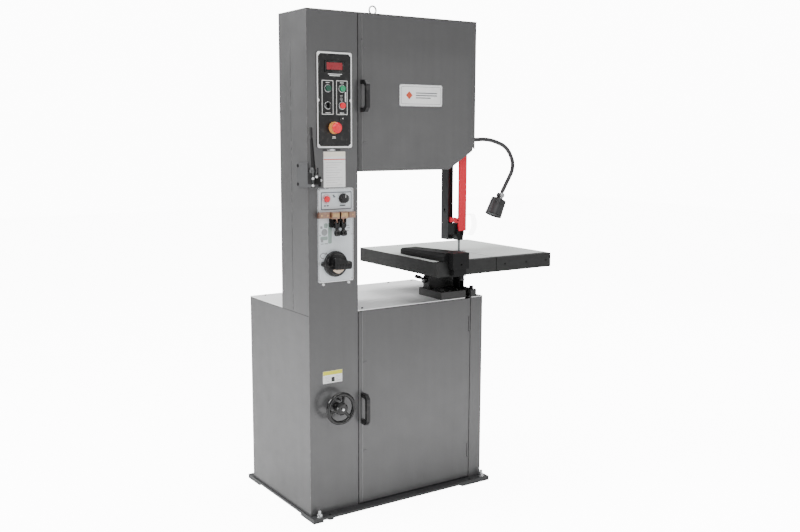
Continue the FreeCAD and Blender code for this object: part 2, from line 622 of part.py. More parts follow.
# ---- Wheels, blade and drive --------------------------------------------------------
def band_wheel(z, bore):
    y0, y1 = WHEEL_Y0, WHEEL_Y1
    rim = ring_y(RIM_R - 20, RIM_R, WHEEL_X, z, y0, y1)
    web = rod_y(RIM_R - 15, WHEEL_X, z, 64, 73)
    hub = rod_y(38, WHEEL_X, z, 46, 96)
    for k in range(6):
        turn = math.radians(60 * k + 30)
        web = web.cut(rod_y(48, WHEEL_X + 150 * math.cos(turn), z + 150 * math.sin(turn), 60, 80))
    return join(rim, web, hub).cut(rod_y(bore, WHEEL_X, z, 40, 100))


def tyre(z):
    return ring_y(RIM_R, TYRE_R, WHEEL_X, z, WHEEL_Y0, WHEEL_Y1)


def stadium(radius, y0, y1):
    """Closed oval round both wheel centres."""
    straight = box(WHEEL_X - radius, WHEEL_X + radius, y0, y1, LOWER_Z, UPPER_Z)
    return join(straight, rod_y(radius, WHEEL_X, UPPER_Z, y0, y1),
                rod_y(radius, WHEEL_X, LOWER_Z, y0, y1))


def blade_band():
    y0, y1 = BLADE_BACK - BLADE_WIDE, BLADE_BACK
    outer = BLADE_X - WHEEL_X + BLADE_T / 2
    return stadium(outer, y0, y1).cut(stadium(outer - BLADE_T, y0 - 1, y1 + 1))


RAIL_HALF, CARRIAGE_HALF = 25.0, 24.5
SCREW_Y = 186.0


def carriage_guide():
    rails = [box(WHEEL_X + a, WHEEL_X + b, 150, COL_D - SHEET, 1480, 1820)
             for a, b in ((-RAIL_HALF - 15, -RAIL_HALF), (RAIL_HALF, RAIL_HALF + 15))]
    ends = [box(WHEEL_X - 40, WHEEL_X + 40, 150, COL_D - SHEET, z, z + 15)
            for z in (1465.0, 1820.0)]
    frame = join(*rails, *ends)
    return frame.cut(rod(8.05, (WHEEL_X, SCREW_Y, 1815), (WHEEL_X, SCREW_Y, 1840)))


def tension_carriage():
    """Sliding block with the upper wheel's axle and its end collar."""
    block = box(WHEEL_X - CARRIAGE_HALF, WHEEL_X + CARRIAGE_HALF, 130, 205, 1600, 1700)
    face = box(WHEEL_X - 38, WHEEL_X + 38, 128, 149.5, 1606, 1694)
    axle = rod_y(17.5, WHEEL_X, UPPER_Z, 40, 132)
    collar = rod_y(25, WHEEL_X, UPPER_Z, 36, 45.5)
    spacer = rod_y(25, WHEEL_X, UPPER_Z, 96.5, 130)
    body = join(block, face, axle, collar, spacer)
    return body.cut(rod(8.05, (WHEEL_X, SCREW_Y, 1590), (WHEEL_X, SCREW_Y, 1710)))


def tension_screw():
    screw = rod(8, (WHEEL_X, SCREW_Y, 1490), (WHEEL_X, SCREW_Y, 1860))
    return join(screw, rod(15, (WHEEL_X, SCREW_Y, 1835.5), (WHEEL_X, SCREW_Y, 1845)),
                hexagon(14, WHEEL_X, SCREW_Y, 1845, 1860))


SHAFT_R = 20.0


def lower_shaft():
    nut = rod_y(28, WHEEL_X, LOWER_Z, 38, 46)
    return join(rod_y(SHAFT_R, WHEEL_X, LOWER_Z, 38, 310), nut)


def lower_bearing():
    """Plummer block and pedestal that carry the driven wheel's shaft."""
    housing = rod_y(58, WHEEL_X, LOWER_Z, 110, 235)
    pedestal = box(WHEEL_X - 50, WHEEL_X + 50, 120, 225, 0, LOWER_Z)
    foot = box(WHEEL_X - 110, WHEEL_X + 110, 105, 240, 0, 16)
    hollow = box(WHEEL_X - 40, WHEEL_X + 40, 130, 215, 16, LOWER_Z - 70)
    block = join(housing, pedestal, foot)
    return carve(block, rod_y(SHAFT_R + 0.05, WHEEL_X, LOWER_Z, 100, 240), hollow,
                 box(WHEEL_X - 40, WHEEL_X + 40, 100, 250, 40, LOWER_Z - 90))


def pulley(radius, bore, x, z):
    rim = rod_y(radius, x, z, BELT_Y - 14, BELT_Y + 14)
    groove = ring_y(radius - 11, radius + 1, x, z, BELT_Y - 8, BELT_Y + 8)
    return carve(rim, groove, rod_y(bore, x, z, BELT_Y - 20, BELT_Y + 20))


def driven_pulley():
    wheel = pulley(DRIVEN_R, SHAFT_R, WHEEL_X, LOWER_Z)
    for k in range(5):
        turn = math.radians(72 * k)
        wheel = wheel.cut(rod_y(26, WHEEL_X + 82 * math.cos(turn), LOWER_Z + 82 * math.sin(turn),
                                BELT_Y - 20, BELT_Y + 20))
    return wheel


MOTOR_FRONT = 312.0


def motor_pulley():
    shaft = rod_y(14, MOTOR_X, MOTOR_Z, BELT_Y - 20, MOTOR_FRONT + 24)
    return join(pulley(DRIVER_R, 14, MOTOR_X, MOTOR_Z), shaft)


def drive_motor():
    body = rod_y(80, MOTOR_X, MOTOR_Z, MOTOR_FRONT + 20, 490)
    nose = rod_y(50, MOTOR_X, MOTOR_Z, MOTOR_FRONT, MOTOR_FRONT + 20)
    foot = box(MOTOR_X - 70, MOTOR_X + 70, 345, 465, 0, MOTOR_Z - 40)
    terminals = box(MOTOR_X - 40, MOTOR_X + 40, 360, 440, MOTOR_Z + 60, MOTOR_Z + 110)
    motor = join(body, nose, foot, terminals)
    for k in range(-3, 12):                   # cooling fins, over the top half
        turn = math.radians(22.5 * k)
        fin = box(MOTOR_X + 76, MOTOR_X + 88, 350, 470, MOTOR_Z - 2, MOTOR_Z + 2)
        fin.rotate(V(MOTOR_X, 0, MOTOR_Z), V(0, 1, 0), -math.degrees(turn))
        motor = motor.fuse(fin)
    return motor.removeSplitter().cut(rod_y(14.05, MOTOR_X, MOTOR_Z, MOTOR_FRONT - 1,
                                            MOTOR_FRONT + 26))


def belt_hull(grow, y0, y1):
    """Solid round both pulleys, as a tight belt would wrap them."""
    big, small = DRIVEN_R - 9.5 + grow, DRIVER_R - 9.5 + grow
    ax, az, bx, bz = WHEEL_X, LOWER_Z, MOTOR_X, MOTOR_Z
    span = math.hypot(bx - ax, bz - az)
    heading = math.atan2(bz - az, bx - ax)
    spread = math.acos((big - small) / span)
    sides = [heading + spread, heading - spread]
    quad = [(ax + big * math.cos(sides[0]), az + big * math.sin(sides[0])),
            (bx + small * math.cos(sides[0]), bz + small * math.sin(sides[0])),
            (bx + small * math.cos(sides[1]), bz + small * math.sin(sides[1])),
            (ax + big * math.cos(sides[1]), az + big * math.sin(sides[1]))]
    return join(prism_xz(quad, y0, y1), rod_y(big, ax, az, y0, y1), rod_y(small, bx, bz, y0, y1))


def drive_belt():
    half = 6.5
    return belt_hull(9, BELT_Y - half, BELT_Y + half).cut(
        belt_hull(0, BELT_Y - half - 1, BELT_Y + half + 1))


def speed_handwheel():
    y = -50.0
    rim = Part.makeTorus(57, 8, V(SPEED_X, y, SPEED_Z), V(0, 1, 0))
    hub = rod_y(17, SPEED_X, SPEED_Z, y - 14, -12.5)
    spokes = []
    for k in range(3):
        turn = math.radians(120 * k + 75)
        out = (SPEED_X + 56 * math.cos(turn), y, SPEED_Z + 56 * math.sin(turn))
        spokes.append(rod(6, (SPEED_X, y - 4, SPEED_Z), out))
    shaft = rod_y(10, SPEED_X, SPEED_Z, -14, 70)
    nut = rod_y(16, SPEED_X, SPEED_Z, 8, 20)
    return join(hub, rim, *spokes, shaft, nut)


# ---- Worklight ----------------------------------------------------------------------
ARM_END = (1029.0, 1239.7)                    # where the arm narrows to its swivel eye
LAMP_ROUTE = [(795.5, 1466.0), (950.0, 1473.0), (1055.0, 1437.0), (1098.0, 1352.0), ARM_END]
ARM_R, NECK_R = 8.8, 6.4


def bent_tube(route, radius, bend):
    """Round tube along straight runs joined by tangent arcs."""
    points = [V(x, LAMP_Y, z) for x, z in route]
    edges, start = [], points[0]
    for before, corner, after in zip(points, points[1:], points[2:]):
        back = (before - corner).normalize()
        ahead = (after - corner).normalize()
        half = back.getAngle(ahead) / 2
        trim = min(bend / math.tan(half), 0.45 * (before - corner).Length,
                   0.45 * (after - corner).Length)
        r = trim * math.tan(half)
        enter, leave = corner + back * trim, corner + ahead * trim
        middle = corner + (back + ahead).normalize() * (r / math.sin(half) - r)
        edges += [Part.LineSegment(start, enter).toShape(), Part.Arc(enter, middle, leave).toShape()]
        start = leave
    edges.append(Part.LineSegment(start, points[-1]).toShape())
    circle = Part.Wire(Part.makeCircle(radius, points[0], points[1] - points[0]))
    return Part.Wire(edges).makePipeShell([circle], True, False)


def gooseneck():
    tube = bent_tube(LAMP_ROUTE, ARM_R, 400)
    socket = rod(15, (HEAD_R, LAMP_Y, 1466), (HEAD_R + 22, LAMP_Y, 1466))
    x, z = ARM_END
    neck = rod(NECK_R, (LAMP_X, LAMP_Y, LAMP_Z), (x + 2, LAMP_Y, z + 3.3))
    eye = rod_y(9, LAMP_X, LAMP_Z, LAMP_Y - 7, LAMP_Y + 7)
    return join(tube, socket, neck, eye).cut(rod_y(3.05, LAMP_X, LAMP_Z, 80, 120))


def lamp_head():
    """Flared lamp on two ears, its open end towards the blade."""
    aim = V(-0.42, 0, -0.908).normalize()
    joint = V(LAMP_X, LAMP_Y, LAMP_Z)
    back = joint + aim * 20
    can = Part.makeCone(32, 37, 76, back, aim)
    mouth = Part.makeCone(29, 33, 44, back + aim * 33, aim)
    ears = []
    for y0, y1 in ((LAMP_Y - 12, LAMP_Y - 7.5), (LAMP_Y + 7.5, LAMP_Y + 12)):
        ear = rod_y(9, LAMP_X, LAMP_Z, y0, y1)
        strap = Part.makeBox(18, y1 - y0, 24, V(-9, y0 - LAMP_Y, 0))
        strap.rotate(V(0, 0, 0), V(0, 1, 0), math.degrees(math.atan2(aim.x, aim.z)))
        strap.translate(joint)
        ears += [ear, strap]
    pin = rod_y(3, LAMP_X, LAMP_Z, LAMP_Y - 12, LAMP_Y + 12)
    return join(can.cut(mouth), *ears, pin)


# ---- All nodes ----------------------------------------------------------------------
NODES = {
    "base_plate": base_plate,
    "levelling_bolts": levelling_bolts,
    "base_cabinet": base_cabinet,
    "base_top": base_top,
    "column_shell": column_shell,
    "head_housing": head_housing,
    "lifting_eye": lifting_eye,
    "hinge_pins": hinge_pins,
    "base_door": base_door,
    "base_door_handle": lambda: door_handle(*BASE_HANDLE_Z),
    "head_door": head_door,
    "head_door_handle": lambda: door_handle(*HEAD_HANDLE_Z),
    "nameplate": nameplate,
    "control_panel": control_panel,
    "display_lens": display_lens,
    "power_button": lambda: push_button(PUSH_LEFT, PUSH_TOP, 11, PANEL_FRONT, 6),
    "start_button": lambda: push_button(PUSH_RIGHT, PUSH_TOP, 11, PANEL_FRONT, 6),
    "stop_button": lambda: push_button(PUSH_RIGHT, PUSH_LOW, 11, PANEL_FRONT, 6),
    "selector_switch": selector_switch,
    "estop_button": estop_button,
    "welder_panel": welder_panel,
    "weld_button": lambda: push_button(*WELD_PUSH, 11, WELD_FRONT - 1.5, 5),
    "weld_knob": weld_knob,
    "rotary_switch": rotary_switch,
    "weld_jaws": weld_jaws,
    "clamp_lever_left": lambda: clamp_lever(CLAMP_X[0]),
    "clamp_lever_right": lambda: clamp_lever(CLAMP_X[1]),
    "shear_bracket": shear_bracket,
    "shear_lever": shear_lever,
    "table_casting": table_casting,
    "table_insert": table_insert,
    "table_rail": table_rail,
    "trunnion_base": trunnion_base,
    "trunnion_bolts": trunnion_bolts,
    "tilt_rocker": tilt_rocker,
    "tilt_lock_lever": tilt_lock_lever,
    "fence_body": fence_body,
    "guide_post": guide_post,
    "upper_guide": upper_guide,
    "blade_guard": blade_guard,
    "chip_shield": chip_shield,
    "post_bracket": post_bracket,
    "lower_blade_guard": lower_blade_guard,
    "upper_wheel": lambda: band_wheel(UPPER_Z, 17.55),
    "upper_tyre": lambda: tyre(UPPER_Z),
    "lower_wheel": lambda: band_wheel(LOWER_Z, SHAFT_R),
    "lower_tyre": lambda: tyre(LOWER_Z),
    "blade_band": blade_band,
    "carriage_guide": carriage_guide,
    "tension_carriage": tension_carriage,
    "tension_screw": tension_screw,
    "lower_shaft": lower_shaft,
    "lower_bearing": lower_bearing,
    "driven_pulley": driven_pulley,
    "motor_pulley": motor_pulley,
    "drive_motor": drive_motor,
    "drive_belt": drive_belt,
    "speed_handwheel": speed_handwheel,
    "gooseneck": gooseneck,
    "lamp_head": lamp_head,
}

os.makedirs("parts", exist_ok=True)
for node, make in NODES.items():
    save(node, make())
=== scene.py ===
import math

import bmesh
import bpy
from mathutils import Matrix, Vector


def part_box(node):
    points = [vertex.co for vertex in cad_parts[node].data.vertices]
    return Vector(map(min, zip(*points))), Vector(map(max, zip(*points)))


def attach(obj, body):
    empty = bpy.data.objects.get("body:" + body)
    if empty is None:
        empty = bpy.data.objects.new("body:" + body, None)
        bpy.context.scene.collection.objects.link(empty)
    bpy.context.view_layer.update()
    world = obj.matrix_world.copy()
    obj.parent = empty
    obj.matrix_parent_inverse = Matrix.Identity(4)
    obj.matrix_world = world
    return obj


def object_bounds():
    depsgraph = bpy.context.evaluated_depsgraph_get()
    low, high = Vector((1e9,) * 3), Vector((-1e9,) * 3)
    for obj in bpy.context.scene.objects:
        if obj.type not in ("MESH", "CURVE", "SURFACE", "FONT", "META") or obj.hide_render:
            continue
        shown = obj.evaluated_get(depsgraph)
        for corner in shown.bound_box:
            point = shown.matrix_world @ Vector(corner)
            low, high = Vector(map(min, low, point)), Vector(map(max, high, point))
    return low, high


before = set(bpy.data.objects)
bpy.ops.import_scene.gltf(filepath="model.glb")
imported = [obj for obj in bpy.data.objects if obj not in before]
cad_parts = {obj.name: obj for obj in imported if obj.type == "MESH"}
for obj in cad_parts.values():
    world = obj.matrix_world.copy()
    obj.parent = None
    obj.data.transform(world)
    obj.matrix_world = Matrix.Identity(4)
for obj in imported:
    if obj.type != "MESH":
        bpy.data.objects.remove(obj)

CAD_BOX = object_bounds()
MM = 0.001

# Every place below is in millimetres from the cabinet's front left bottom corner: x to the
# right, y to the back, z up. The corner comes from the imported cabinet.
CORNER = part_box("base_cabinet")[0]


# Places used more than once.
CABINET_TOP, CABINET_BACK, COLUMN_BACK = 805, 527, 225
WELD_BUTTON, WELD_KNOB = (76, 1249), (150, 1249)        # x and z
SHEAR_PIVOT = (3, -40, 1358)
HANDWHEEL_X, HANDWHEEL_Z = 110, 434
BLADE_X = 769.5
LAMP_X, LAMP_Y, LAMP_Z = 1020, 100.0, 1225


def at(x, y, z):
    return CORNER + Vector((x, y, z)) * MM


def direction(degrees):
    """Cosine and sine of an angle in degrees."""
    return math.cos(math.radians(degrees)), math.sin(math.radians(degrees))


# ---- Materials ----------------------------------------------------------------------
MATERIALS = {}


class Graph:
    """Short way to write a material's nodes."""

    def __init__(self, name):
        self.material = bpy.data.materials.new(name)
        self.material.use_nodes = True
        self.tree = self.material.node_tree
        self.tree.nodes.clear()
        MATERIALS[name] = self.material

    def add(self, kind, inputs=None, **settings):
        node = self.tree.nodes.new("ShaderNode" + kind)
        for key, value in settings.items():
            setattr(node, key, value)
        for key, value in (inputs or {}).items():
            if isinstance(value, bpy.types.NodeSocket):
                self.tree.links.new(value, node.inputs[key])
            else:
                node.inputs[key].default_value = value
        return node

    def place(self, stretch=(1, 1, 1)):
        coords = self.add("TexCoord").outputs["Object"]
        return self.add("Mapping", {"Vector": coords, "Scale": stretch}).outputs[0]

    def noise(self, scale, detail=3.0, stretch=(1, 1, 1), rough=0.5):
        return self.add("TexNoise", {"Vector": self.place(stretch), "Scale": scale,
                                     "Detail": detail, "Roughness": rough}).outputs[0]

    def spread(self, value, low, high, start=0.3, end=0.7):
        return self.add("MapRange", {"Value": value, "From Min": start, "From Max": end,
                                     "To Min": low, "To Max": high}).outputs[0]

    def blend(self, factor, a, b, mode="MIX"):
        node = self.add("Mix", data_type="RGBA", blend_type=mode)
        for index, value in ((0, factor), (6, a), (7, b)):
            if isinstance(value, bpy.types.NodeSocket):
                self.tree.links.new(value, node.inputs[index])
            elif index == 0:
                node.inputs[0].default_value = value
            else:
                node.inputs[index].default_value = (*value[:3], 1)
        return node.outputs[2]

    def math(self, operation, a, b=0.0, clamp=False):
        node = self.add("Math", operation=operation, use_clamp=clamp)
        for index, value in enumerate((a, b)):
            if isinstance(value, bpy.types.NodeSocket):
                self.tree.links.new(value, node.inputs[index])
            else:
                node.inputs[index].default_value = value
        return node.outputs[0]

    def edges(self, radius):
        """1 along outer and inner edges, 0 on flats."""
        soft = self.add("Bevel", {"Radius": radius}, samples=6).outputs[0]
        flat = self.add("NewGeometry").outputs["Normal"]
        dot = self.add("VectorMath", {0: soft, 1: flat}, operation="DOT_PRODUCT")
        return self.spread(dot.outputs["Value"], 1.0, 0.0, 0.88, 0.995)

    def surface(self, colour, rough, metal=0.0, bump=None, depth=0.0, rounding=0.0, **extra):
        shader = self.add("BsdfPrincipled")
        sockets = {"Base Color": colour, "Roughness": rough, "Metallic": metal, **extra}
        for key, value in sockets.items():
            if isinstance(value, bpy.types.NodeSocket):
                self.tree.links.new(value, shader.inputs[key])
            elif key == "Base Color":
                shader.inputs[key].default_value = (*value[:3], 1)
            else:
                shader.inputs[key].default_value = value
        normal = None
        if rounding:
            normal = self.add("Bevel", {"Radius": rounding}, samples=6).outputs[0]
        if bump is not None:
            inputs = {"Height": bump, "Distance": depth}
            if normal is not None:
                inputs["Normal"] = normal
            normal = self.add("Bump", inputs).outputs[0]
        if normal is not None:
            self.tree.links.new(normal, shader.inputs["Normal"])
        output = self.add("OutputMaterial")
        self.tree.links.new(shader.outputs[0], output.inputs[0])
        return self.material


def shade(colour, k):
    return tuple(min(1.0, c * k) for c in colour)


def enamel(name, colour, rough=0.4, metal=0.0, vary=0.06, rounding=0.0012, chips=None,
           bottom_darkening=0.0, peel=0.00006, coat=0.0, specular=0.5):
    """Sprayed paint: soft tone, orange peel, rubbed edges and a darker tone towards the floor."""
    g = Graph(name)
    cloud = g.spread(g.noise(1.1, 2, (1, 1, 0.8)), 0, 1, 0.36, 0.64)
    tone = g.blend(cloud, shade(colour, 1 - vary), shade(colour, 1 + vary))
    brush = g.spread(g.noise(38, 4, (1, 1, 0.06)), 0, 1)
    tone = g.blend(g.math("MULTIPLY", brush, 0.1), tone, shade(colour, 1.5))
    fleck = g.spread(g.noise(1900, 1), 0, 1, 0.42, 0.6)
    tone = g.blend(g.math("MULTIPLY", fleck, 0.16), tone, shade(colour, 1.8))
    # Darker towards the floor, in patches broken up by noise.
    if bottom_darkening:
        height = g.add("SeparateXYZ", {0: g.place()}).outputs[2]
        low = g.spread(height, bottom_darkening, 0.0, 0.02, 0.34)
        breakup = g.spread(g.noise(9, 5, (1, 1, 0.35)), 0.4, 1)
        tone = g.blend(g.math("MULTIPLY", low, breakup, True), tone, shade(colour, 0.4))
    if chips:
        rub = g.spread(g.noise(55, 4), 0, 1, 0.5, 0.66)
        edge = g.math("MULTIPLY", g.edges(0.0012), rub, True)
        tone = g.blend(g.math("MULTIPLY", edge, 0.75), tone, chips)
    roughness = g.spread(g.noise(14, 4), rough - 0.04, rough + 0.06)
    peeled = g.noise(420, 2)
    extra = {"Specular IOR Level": specular}
    if coat:
        extra.update({"Coat Weight": coat, "Coat Roughness": 0.09})
    return g.surface(tone, roughness, metal, peeled, peel, rounding, **extra)


def bare(name, colour, rough=0.3, stretch=(1, 1, 1), grain=260, depth=0.00003, vary=0.1,
         rounding=0.0005, stain=0.0, metal=1.0):
    """Machined metal with directional tool marks."""
    g = Graph(name)
    lines = g.noise(grain, 5, stretch)
    tone = g.blend(g.spread(lines, 0, 1), shade(colour, 1 - vary), shade(colour, 1 + vary))
    if stain:
        patch = g.spread(g.noise(11, 6), 0, stain, 0.5, 0.75)
        tone = g.blend(patch, tone, shade(colour, 0.45))
    roughness = g.spread(g.noise(grain / 2, 4, stretch), rough - 0.07, rough + 0.1)
    return g.surface(tone, roughness, metal, lines, depth, rounding)


def moulded(name, colour, rough=0.45, grain=900, depth=0.00004, vary=0.08, rounding=0.0006):
    """Moulded plastic or rubber with a fine pebble grain and handling marks."""
    g = Graph(name)
    tone = g.blend(g.spread(g.noise(18, 4), 0, 1), shade(colour, 1 - vary),
                   shade(colour, 1 + vary))
    dust = g.spread(g.noise(60, 6), 0, 0.12, 0.55, 0.75)
    tone = g.blend(dust, tone, (0.32, 0.31, 0.3))
    roughness = g.spread(g.noise(35, 4), rough - 0.06, rough + 0.08)
    return g.surface(tone, roughness, 0.0, g.noise(grain, 2), depth, rounding)


def printed(name, colour, rough=0.42, vary=0.03):
    """Ink or lacquer on a plate or a label."""
    g = Graph(name)
    tone = g.blend(g.spread(g.noise(70, 3), 0, 1), shade(colour, 1 - vary),
                   shade(colour, 1 + vary))
    tone = g.blend(g.spread(g.noise(24, 6), 0, 0.1, 0.58, 0.8), tone, (0.2, 0.19, 0.17))
    return g.surface(tone, g.spread(g.noise(40, 3), rough - 0.05, rough + 0.06), 0.0,
                     g.noise(700, 2), 0.00002)


GREY = (0.108, 0.108, 0.1095)
enamel("grey_enamel", GREY, rough=0.36, metal=0.45, vary=0.09, rounding=0.0025,
       chips=(0.42, 0.42, 0.42), bottom_darkening=0.35, coat=0.25)
enamel("grey_enamel_head", GREY, rough=0.36, metal=0.45, vary=0.09, rounding=0.0025,
       chips=(0.42, 0.42, 0.42), coat=0.25)
# Lighter copy of the grey enamel: painted highlight along the doors' rolled edge bead.
enamel("bead_highlight_enamel", shade(GREY, 1.55), rough=0.3, metal=0.45, vary=0.05, rounding=0.0, coat=0.3)
# Near-white paint on the cabinet's top plate: painted highlight for its brightly lit top.
enamel("top_highlight_enamel", (0.82, 0.825, 0.83), rough=0.34, rounding=0.001, chips=(0.6, 0.6, 0.6))
enamel("black_enamel", (0.008, 0.008, 0.0083), rough=0.42, vary=0.15, rounding=0.001,
       chips=(0.09, 0.09, 0.09), specular=0.2)
enamel("base_enamel", (0.05, 0.051, 0.053), rough=0.45, metal=0.2, vary=0.12, rounding=0.0015,
       chips=(0.25, 0.25, 0.25), bottom_darkening=0.3)
enamel("shear_enamel", (0.07, 0.071, 0.073), rough=0.42, metal=0.2, vary=0.1, rounding=0.001,
       chips=(0.25, 0.25, 0.25))
enamel("red_enamel", (0.80, 0.018, 0.04), rough=0.33, vary=0.07, rounding=0.0008,
       chips=(0.55, 0.2, 0.2), coat=0.2, specular=0.3)
enamel("cast_black", (0.008, 0.0083, 0.008), rough=0.5, vary=0.2, rounding=0.0015,
       chips=(0.07, 0.07, 0.07), peel=0.00025, specular=0.2)
# Lighter copy of the black casting paint for the trunnion parts under the table: painted
# highlight.
enamel("cast_highlight_grey", (0.038, 0.038, 0.038), rough=0.45, metal=0.1, vary=0.2, rounding=0.0015,
       chips=(0.16, 0.16, 0.16), peel=0.00025, specular=0.4)
enamel("arm_black", (0.028, 0.028, 0.03), rough=0.36, vary=0.1, rounding=0.0008)
enamel("wheel_enamel", (0.10, 0.13, 0.13), rough=0.45, metal=0.1, vary=0.1, rounding=0.0015,
       chips=(0.4, 0.4, 0.4))
bare("steel", (0.50, 0.50, 0.51), stretch=(1, 1, 12), grain=160)
bare("post_black", (0.085, 0.085, 0.088), rough=0.36, stretch=(8, 8, 0.4), grain=90, stain=0.5)
bare("zinc", (0.66, 0.67, 0.68), rough=0.22, grain=300, vary=0.06)
bare("turned", (0.62, 0.63, 0.64), rough=0.25, grain=400, vary=0.05)
bare("copper", (0.42, 0.27, 0.21), rough=0.4, stretch=(1, 8, 1), grain=120, stain=0.7)
bare("brass", (0.62, 0.42, 0.22), rough=0.32, stretch=(1, 8, 1), grain=120, stain=0.5)
bare("blade_steel", (0.16, 0.17, 0.175), rough=0.34, stretch=(1, 1, 0.1), grain=300, vary=0.2)
bare("panel_silver", (0.72, 0.76, 0.79), rough=0.42, stretch=(1, 1, 0.05), grain=420,
     depth=0.00001, vary=0.04, metal=0.25)
moulded("black_plastic", (0.010, 0.010, 0.011), rough=0.4)
moulded("gloss_black", (0.006, 0.006, 0.0065), rough=0.16, grain=500, depth=0.00001)
moulded("panel_black", (0.005, 0.005, 0.0055), rough=0.36, grain=600, depth=0.00002)
moulded("rubber", (0.011, 0.011, 0.011), rough=0.7, grain=500, depth=0.00008)
for name, colour, rough in (("red_plastic", (0.88, 0.012, 0.03), 0.25),
                            ("dark_green", (0.004, 0.07, 0.04), 0.22),
                            ("bright_green", (0.012, 0.30, 0.13), 0.22),
                            ("orange_plastic", (0.95, 0.42, 0.10), 0.35)):
    moulded(name, colour, rough, grain=700, depth=0.00001, vary=0.05)
printed("white_ink", (0.92, 0.92, 0.91))
printed("paper", (0.93, 0.93, 0.925), 0.55)
printed("cream", (0.92, 0.86, 0.74), 0.55)
printed("grey_ink", (0.30, 0.31, 0.32))
printed("pale_green_ink", (0.30, 0.38, 0.35))
printed("blue_white", (0.60, 0.52, 0.55))
printed("red_ink", (0.60, 0.09, 0.04))
printed("yellow_ink", (0.74, 0.70, 0.05))
printed("lacquer_white", (0.95, 0.95, 0.95), 0.25)
printed("pale_gold", (0.78, 0.62, 0.48), 0.5)
printed("rose_ink", (0.62, 0.36, 0.40))
printed("dark_ink", (0.015, 0.015, 0.016))
printed("slate_ink", (0.035, 0.045, 0.06))


def display_window():
    g = Graph("red_window")
    cell = g.spread(g.noise(300, 2), 0, 1)
    tone = g.blend(cell, (0.20, 0.004, 0.009), (0.26, 0.007, 0.014))
    glow = {"Emission Color": (0.6, 0.02, 0.04, 1), "Emission Strength": 0.1}
    return g.surface(tone, g.spread(g.noise(30, 2), 0.1, 0.2), 0.0, **glow)


def table_metal():
    """Ground top with long grinding lines; the casting's sides and underside are painted."""
    g = Graph("table_metal")
    lines = g.noise(90, 6, (0.25, 14, 1))
    fine = g.noise(420, 4, (0.2, 6, 1))
    top = g.blend(g.spread(lines, 0, 1), (0.60, 0.63, 0.61), (0.76, 0.79, 0.77))
    top = g.blend(g.spread(g.noise(7, 7), 0, 0.16, 0.52, 0.8), top, (0.36, 0.36, 0.34))
    side = g.blend(g.spread(g.noise(30, 5), 0, 1), (0.006, 0.0064, 0.006), (0.011, 0.0115, 0.011))
    normal = g.add("SeparateXYZ", {0: g.add("TexCoord").outputs["Normal"]}).outputs[2]
    height = g.add("SeparateXYZ", {0: g.place()}).outputs[2]
    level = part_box("table_casting")[1].z - 0.0004
    mask = g.math("MULTIPLY", g.math("GREATER_THAN", normal, 0.7),
                  g.math("GREATER_THAN", height, level))
    tone = g.blend(mask, side, top)
    roughness = g.add("MapRange", {"Value": mask, "To Min": 0.48, "To Max": 0.42}).outputs[0]
    metal = g.math("MULTIPLY", mask, 0.2)
    return g.surface(tone, roughness, metal, fine, 0.00005, 0.0008)


def clear_sheet():
    g = Graph("clear_sheet")
    scratch = g.spread(g.noise(200, 6, (1, 1, 9)), 0.06, 0.2)
    return g.surface((0.80, 0.84, 0.88), scratch, 0.0, **{"Alpha": 0.16})


display_window()
table_metal()
clear_sheet()

NODE_LOOKS = {
    "base_plate": "base_enamel", "levelling_bolts": "zinc", "base_cabinet": "grey_enamel",
    "base_top": "top_highlight_enamel", "column_shell": "grey_enamel", "head_housing": "grey_enamel_head",
    "lifting_eye": "zinc", "hinge_pins": "grey_enamel_head", "base_door": "grey_enamel",
    "base_door_handle": "black_plastic", "head_door": "grey_enamel_head",
    "head_door_handle": "black_plastic", "nameplate": "zinc", "control_panel": "panel_black",
    "display_lens": "red_window", "power_button": "dark_green", "start_button": "bright_green",
    "stop_button": "red_plastic", "selector_switch": "gloss_black",
    "estop_button": "red_plastic", "welder_panel": "panel_silver", "weld_button": "red_plastic",
    "weld_knob": "black_plastic", "rotary_switch": "gloss_black", "weld_jaws": "copper",
    "clamp_lever_left": "gloss_black", "clamp_lever_right": "gloss_black",
    "shear_bracket": "shear_enamel", "shear_lever": "black_enamel",
    "table_casting": "table_metal", "table_insert": "turned", "table_rail": "table_metal",
    "trunnion_base": "cast_highlight_grey", "trunnion_bolts": "black_enamel",
    "tilt_rocker": "cast_highlight_grey", "tilt_lock_lever": "gloss_black", "fence_body": "black_enamel",
    "guide_post": "post_black", "upper_guide": "black_enamel", "blade_guard": "red_enamel",
    "chip_shield": "clear_sheet", "post_bracket": "cast_black",
    "lower_blade_guard": "black_enamel", "upper_wheel": "wheel_enamel", "upper_tyre": "rubber",
    "lower_wheel": "wheel_enamel", "lower_tyre": "rubber", "blade_band": "blade_steel",
    "carriage_guide": "cast_black", "tension_carriage": "steel", "tension_screw": "steel",
    "lower_shaft": "steel", "lower_bearing": "cast_black", "driven_pulley": "steel",
    "motor_pulley": "steel", "drive_motor": "black_enamel", "drive_belt": "rubber",
    "speed_handwheel": "gloss_black", "gooseneck": "arm_black", "lamp_head": "arm_black",
}
for node, look in NODE_LOOKS.items():
    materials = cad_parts[node].data.materials
    materials.clear()
    materials.append(MATERIALS[look])


# ---- Mesh helpers -------------------------------------------------------------------
def finish_piece(name, mesh, look, body):
    piece = bpy.data.objects.new(name, mesh)
    bpy.context.scene.collection.objects.link(piece)
    mesh.materials.clear()
    mesh.materials.append(MATERIALS[look])
    mesh.shade_smooth()
    mesh.set_sharp_from_angle(angle=math.radians(35))
    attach(piece, body)
    return piece


def from_bmesh(name, bm, look, body):
    bmesh.ops.remove_doubles(bm, verts=bm.verts, dist=1e-7)
    bmesh.ops.recalc_face_normals(bm, faces=bm.faces)
    mesh = bpy.data.meshes.new(name)
    bm.to_mesh(mesh)
    bm.free()
    return finish_piece(name, mesh, look, body)


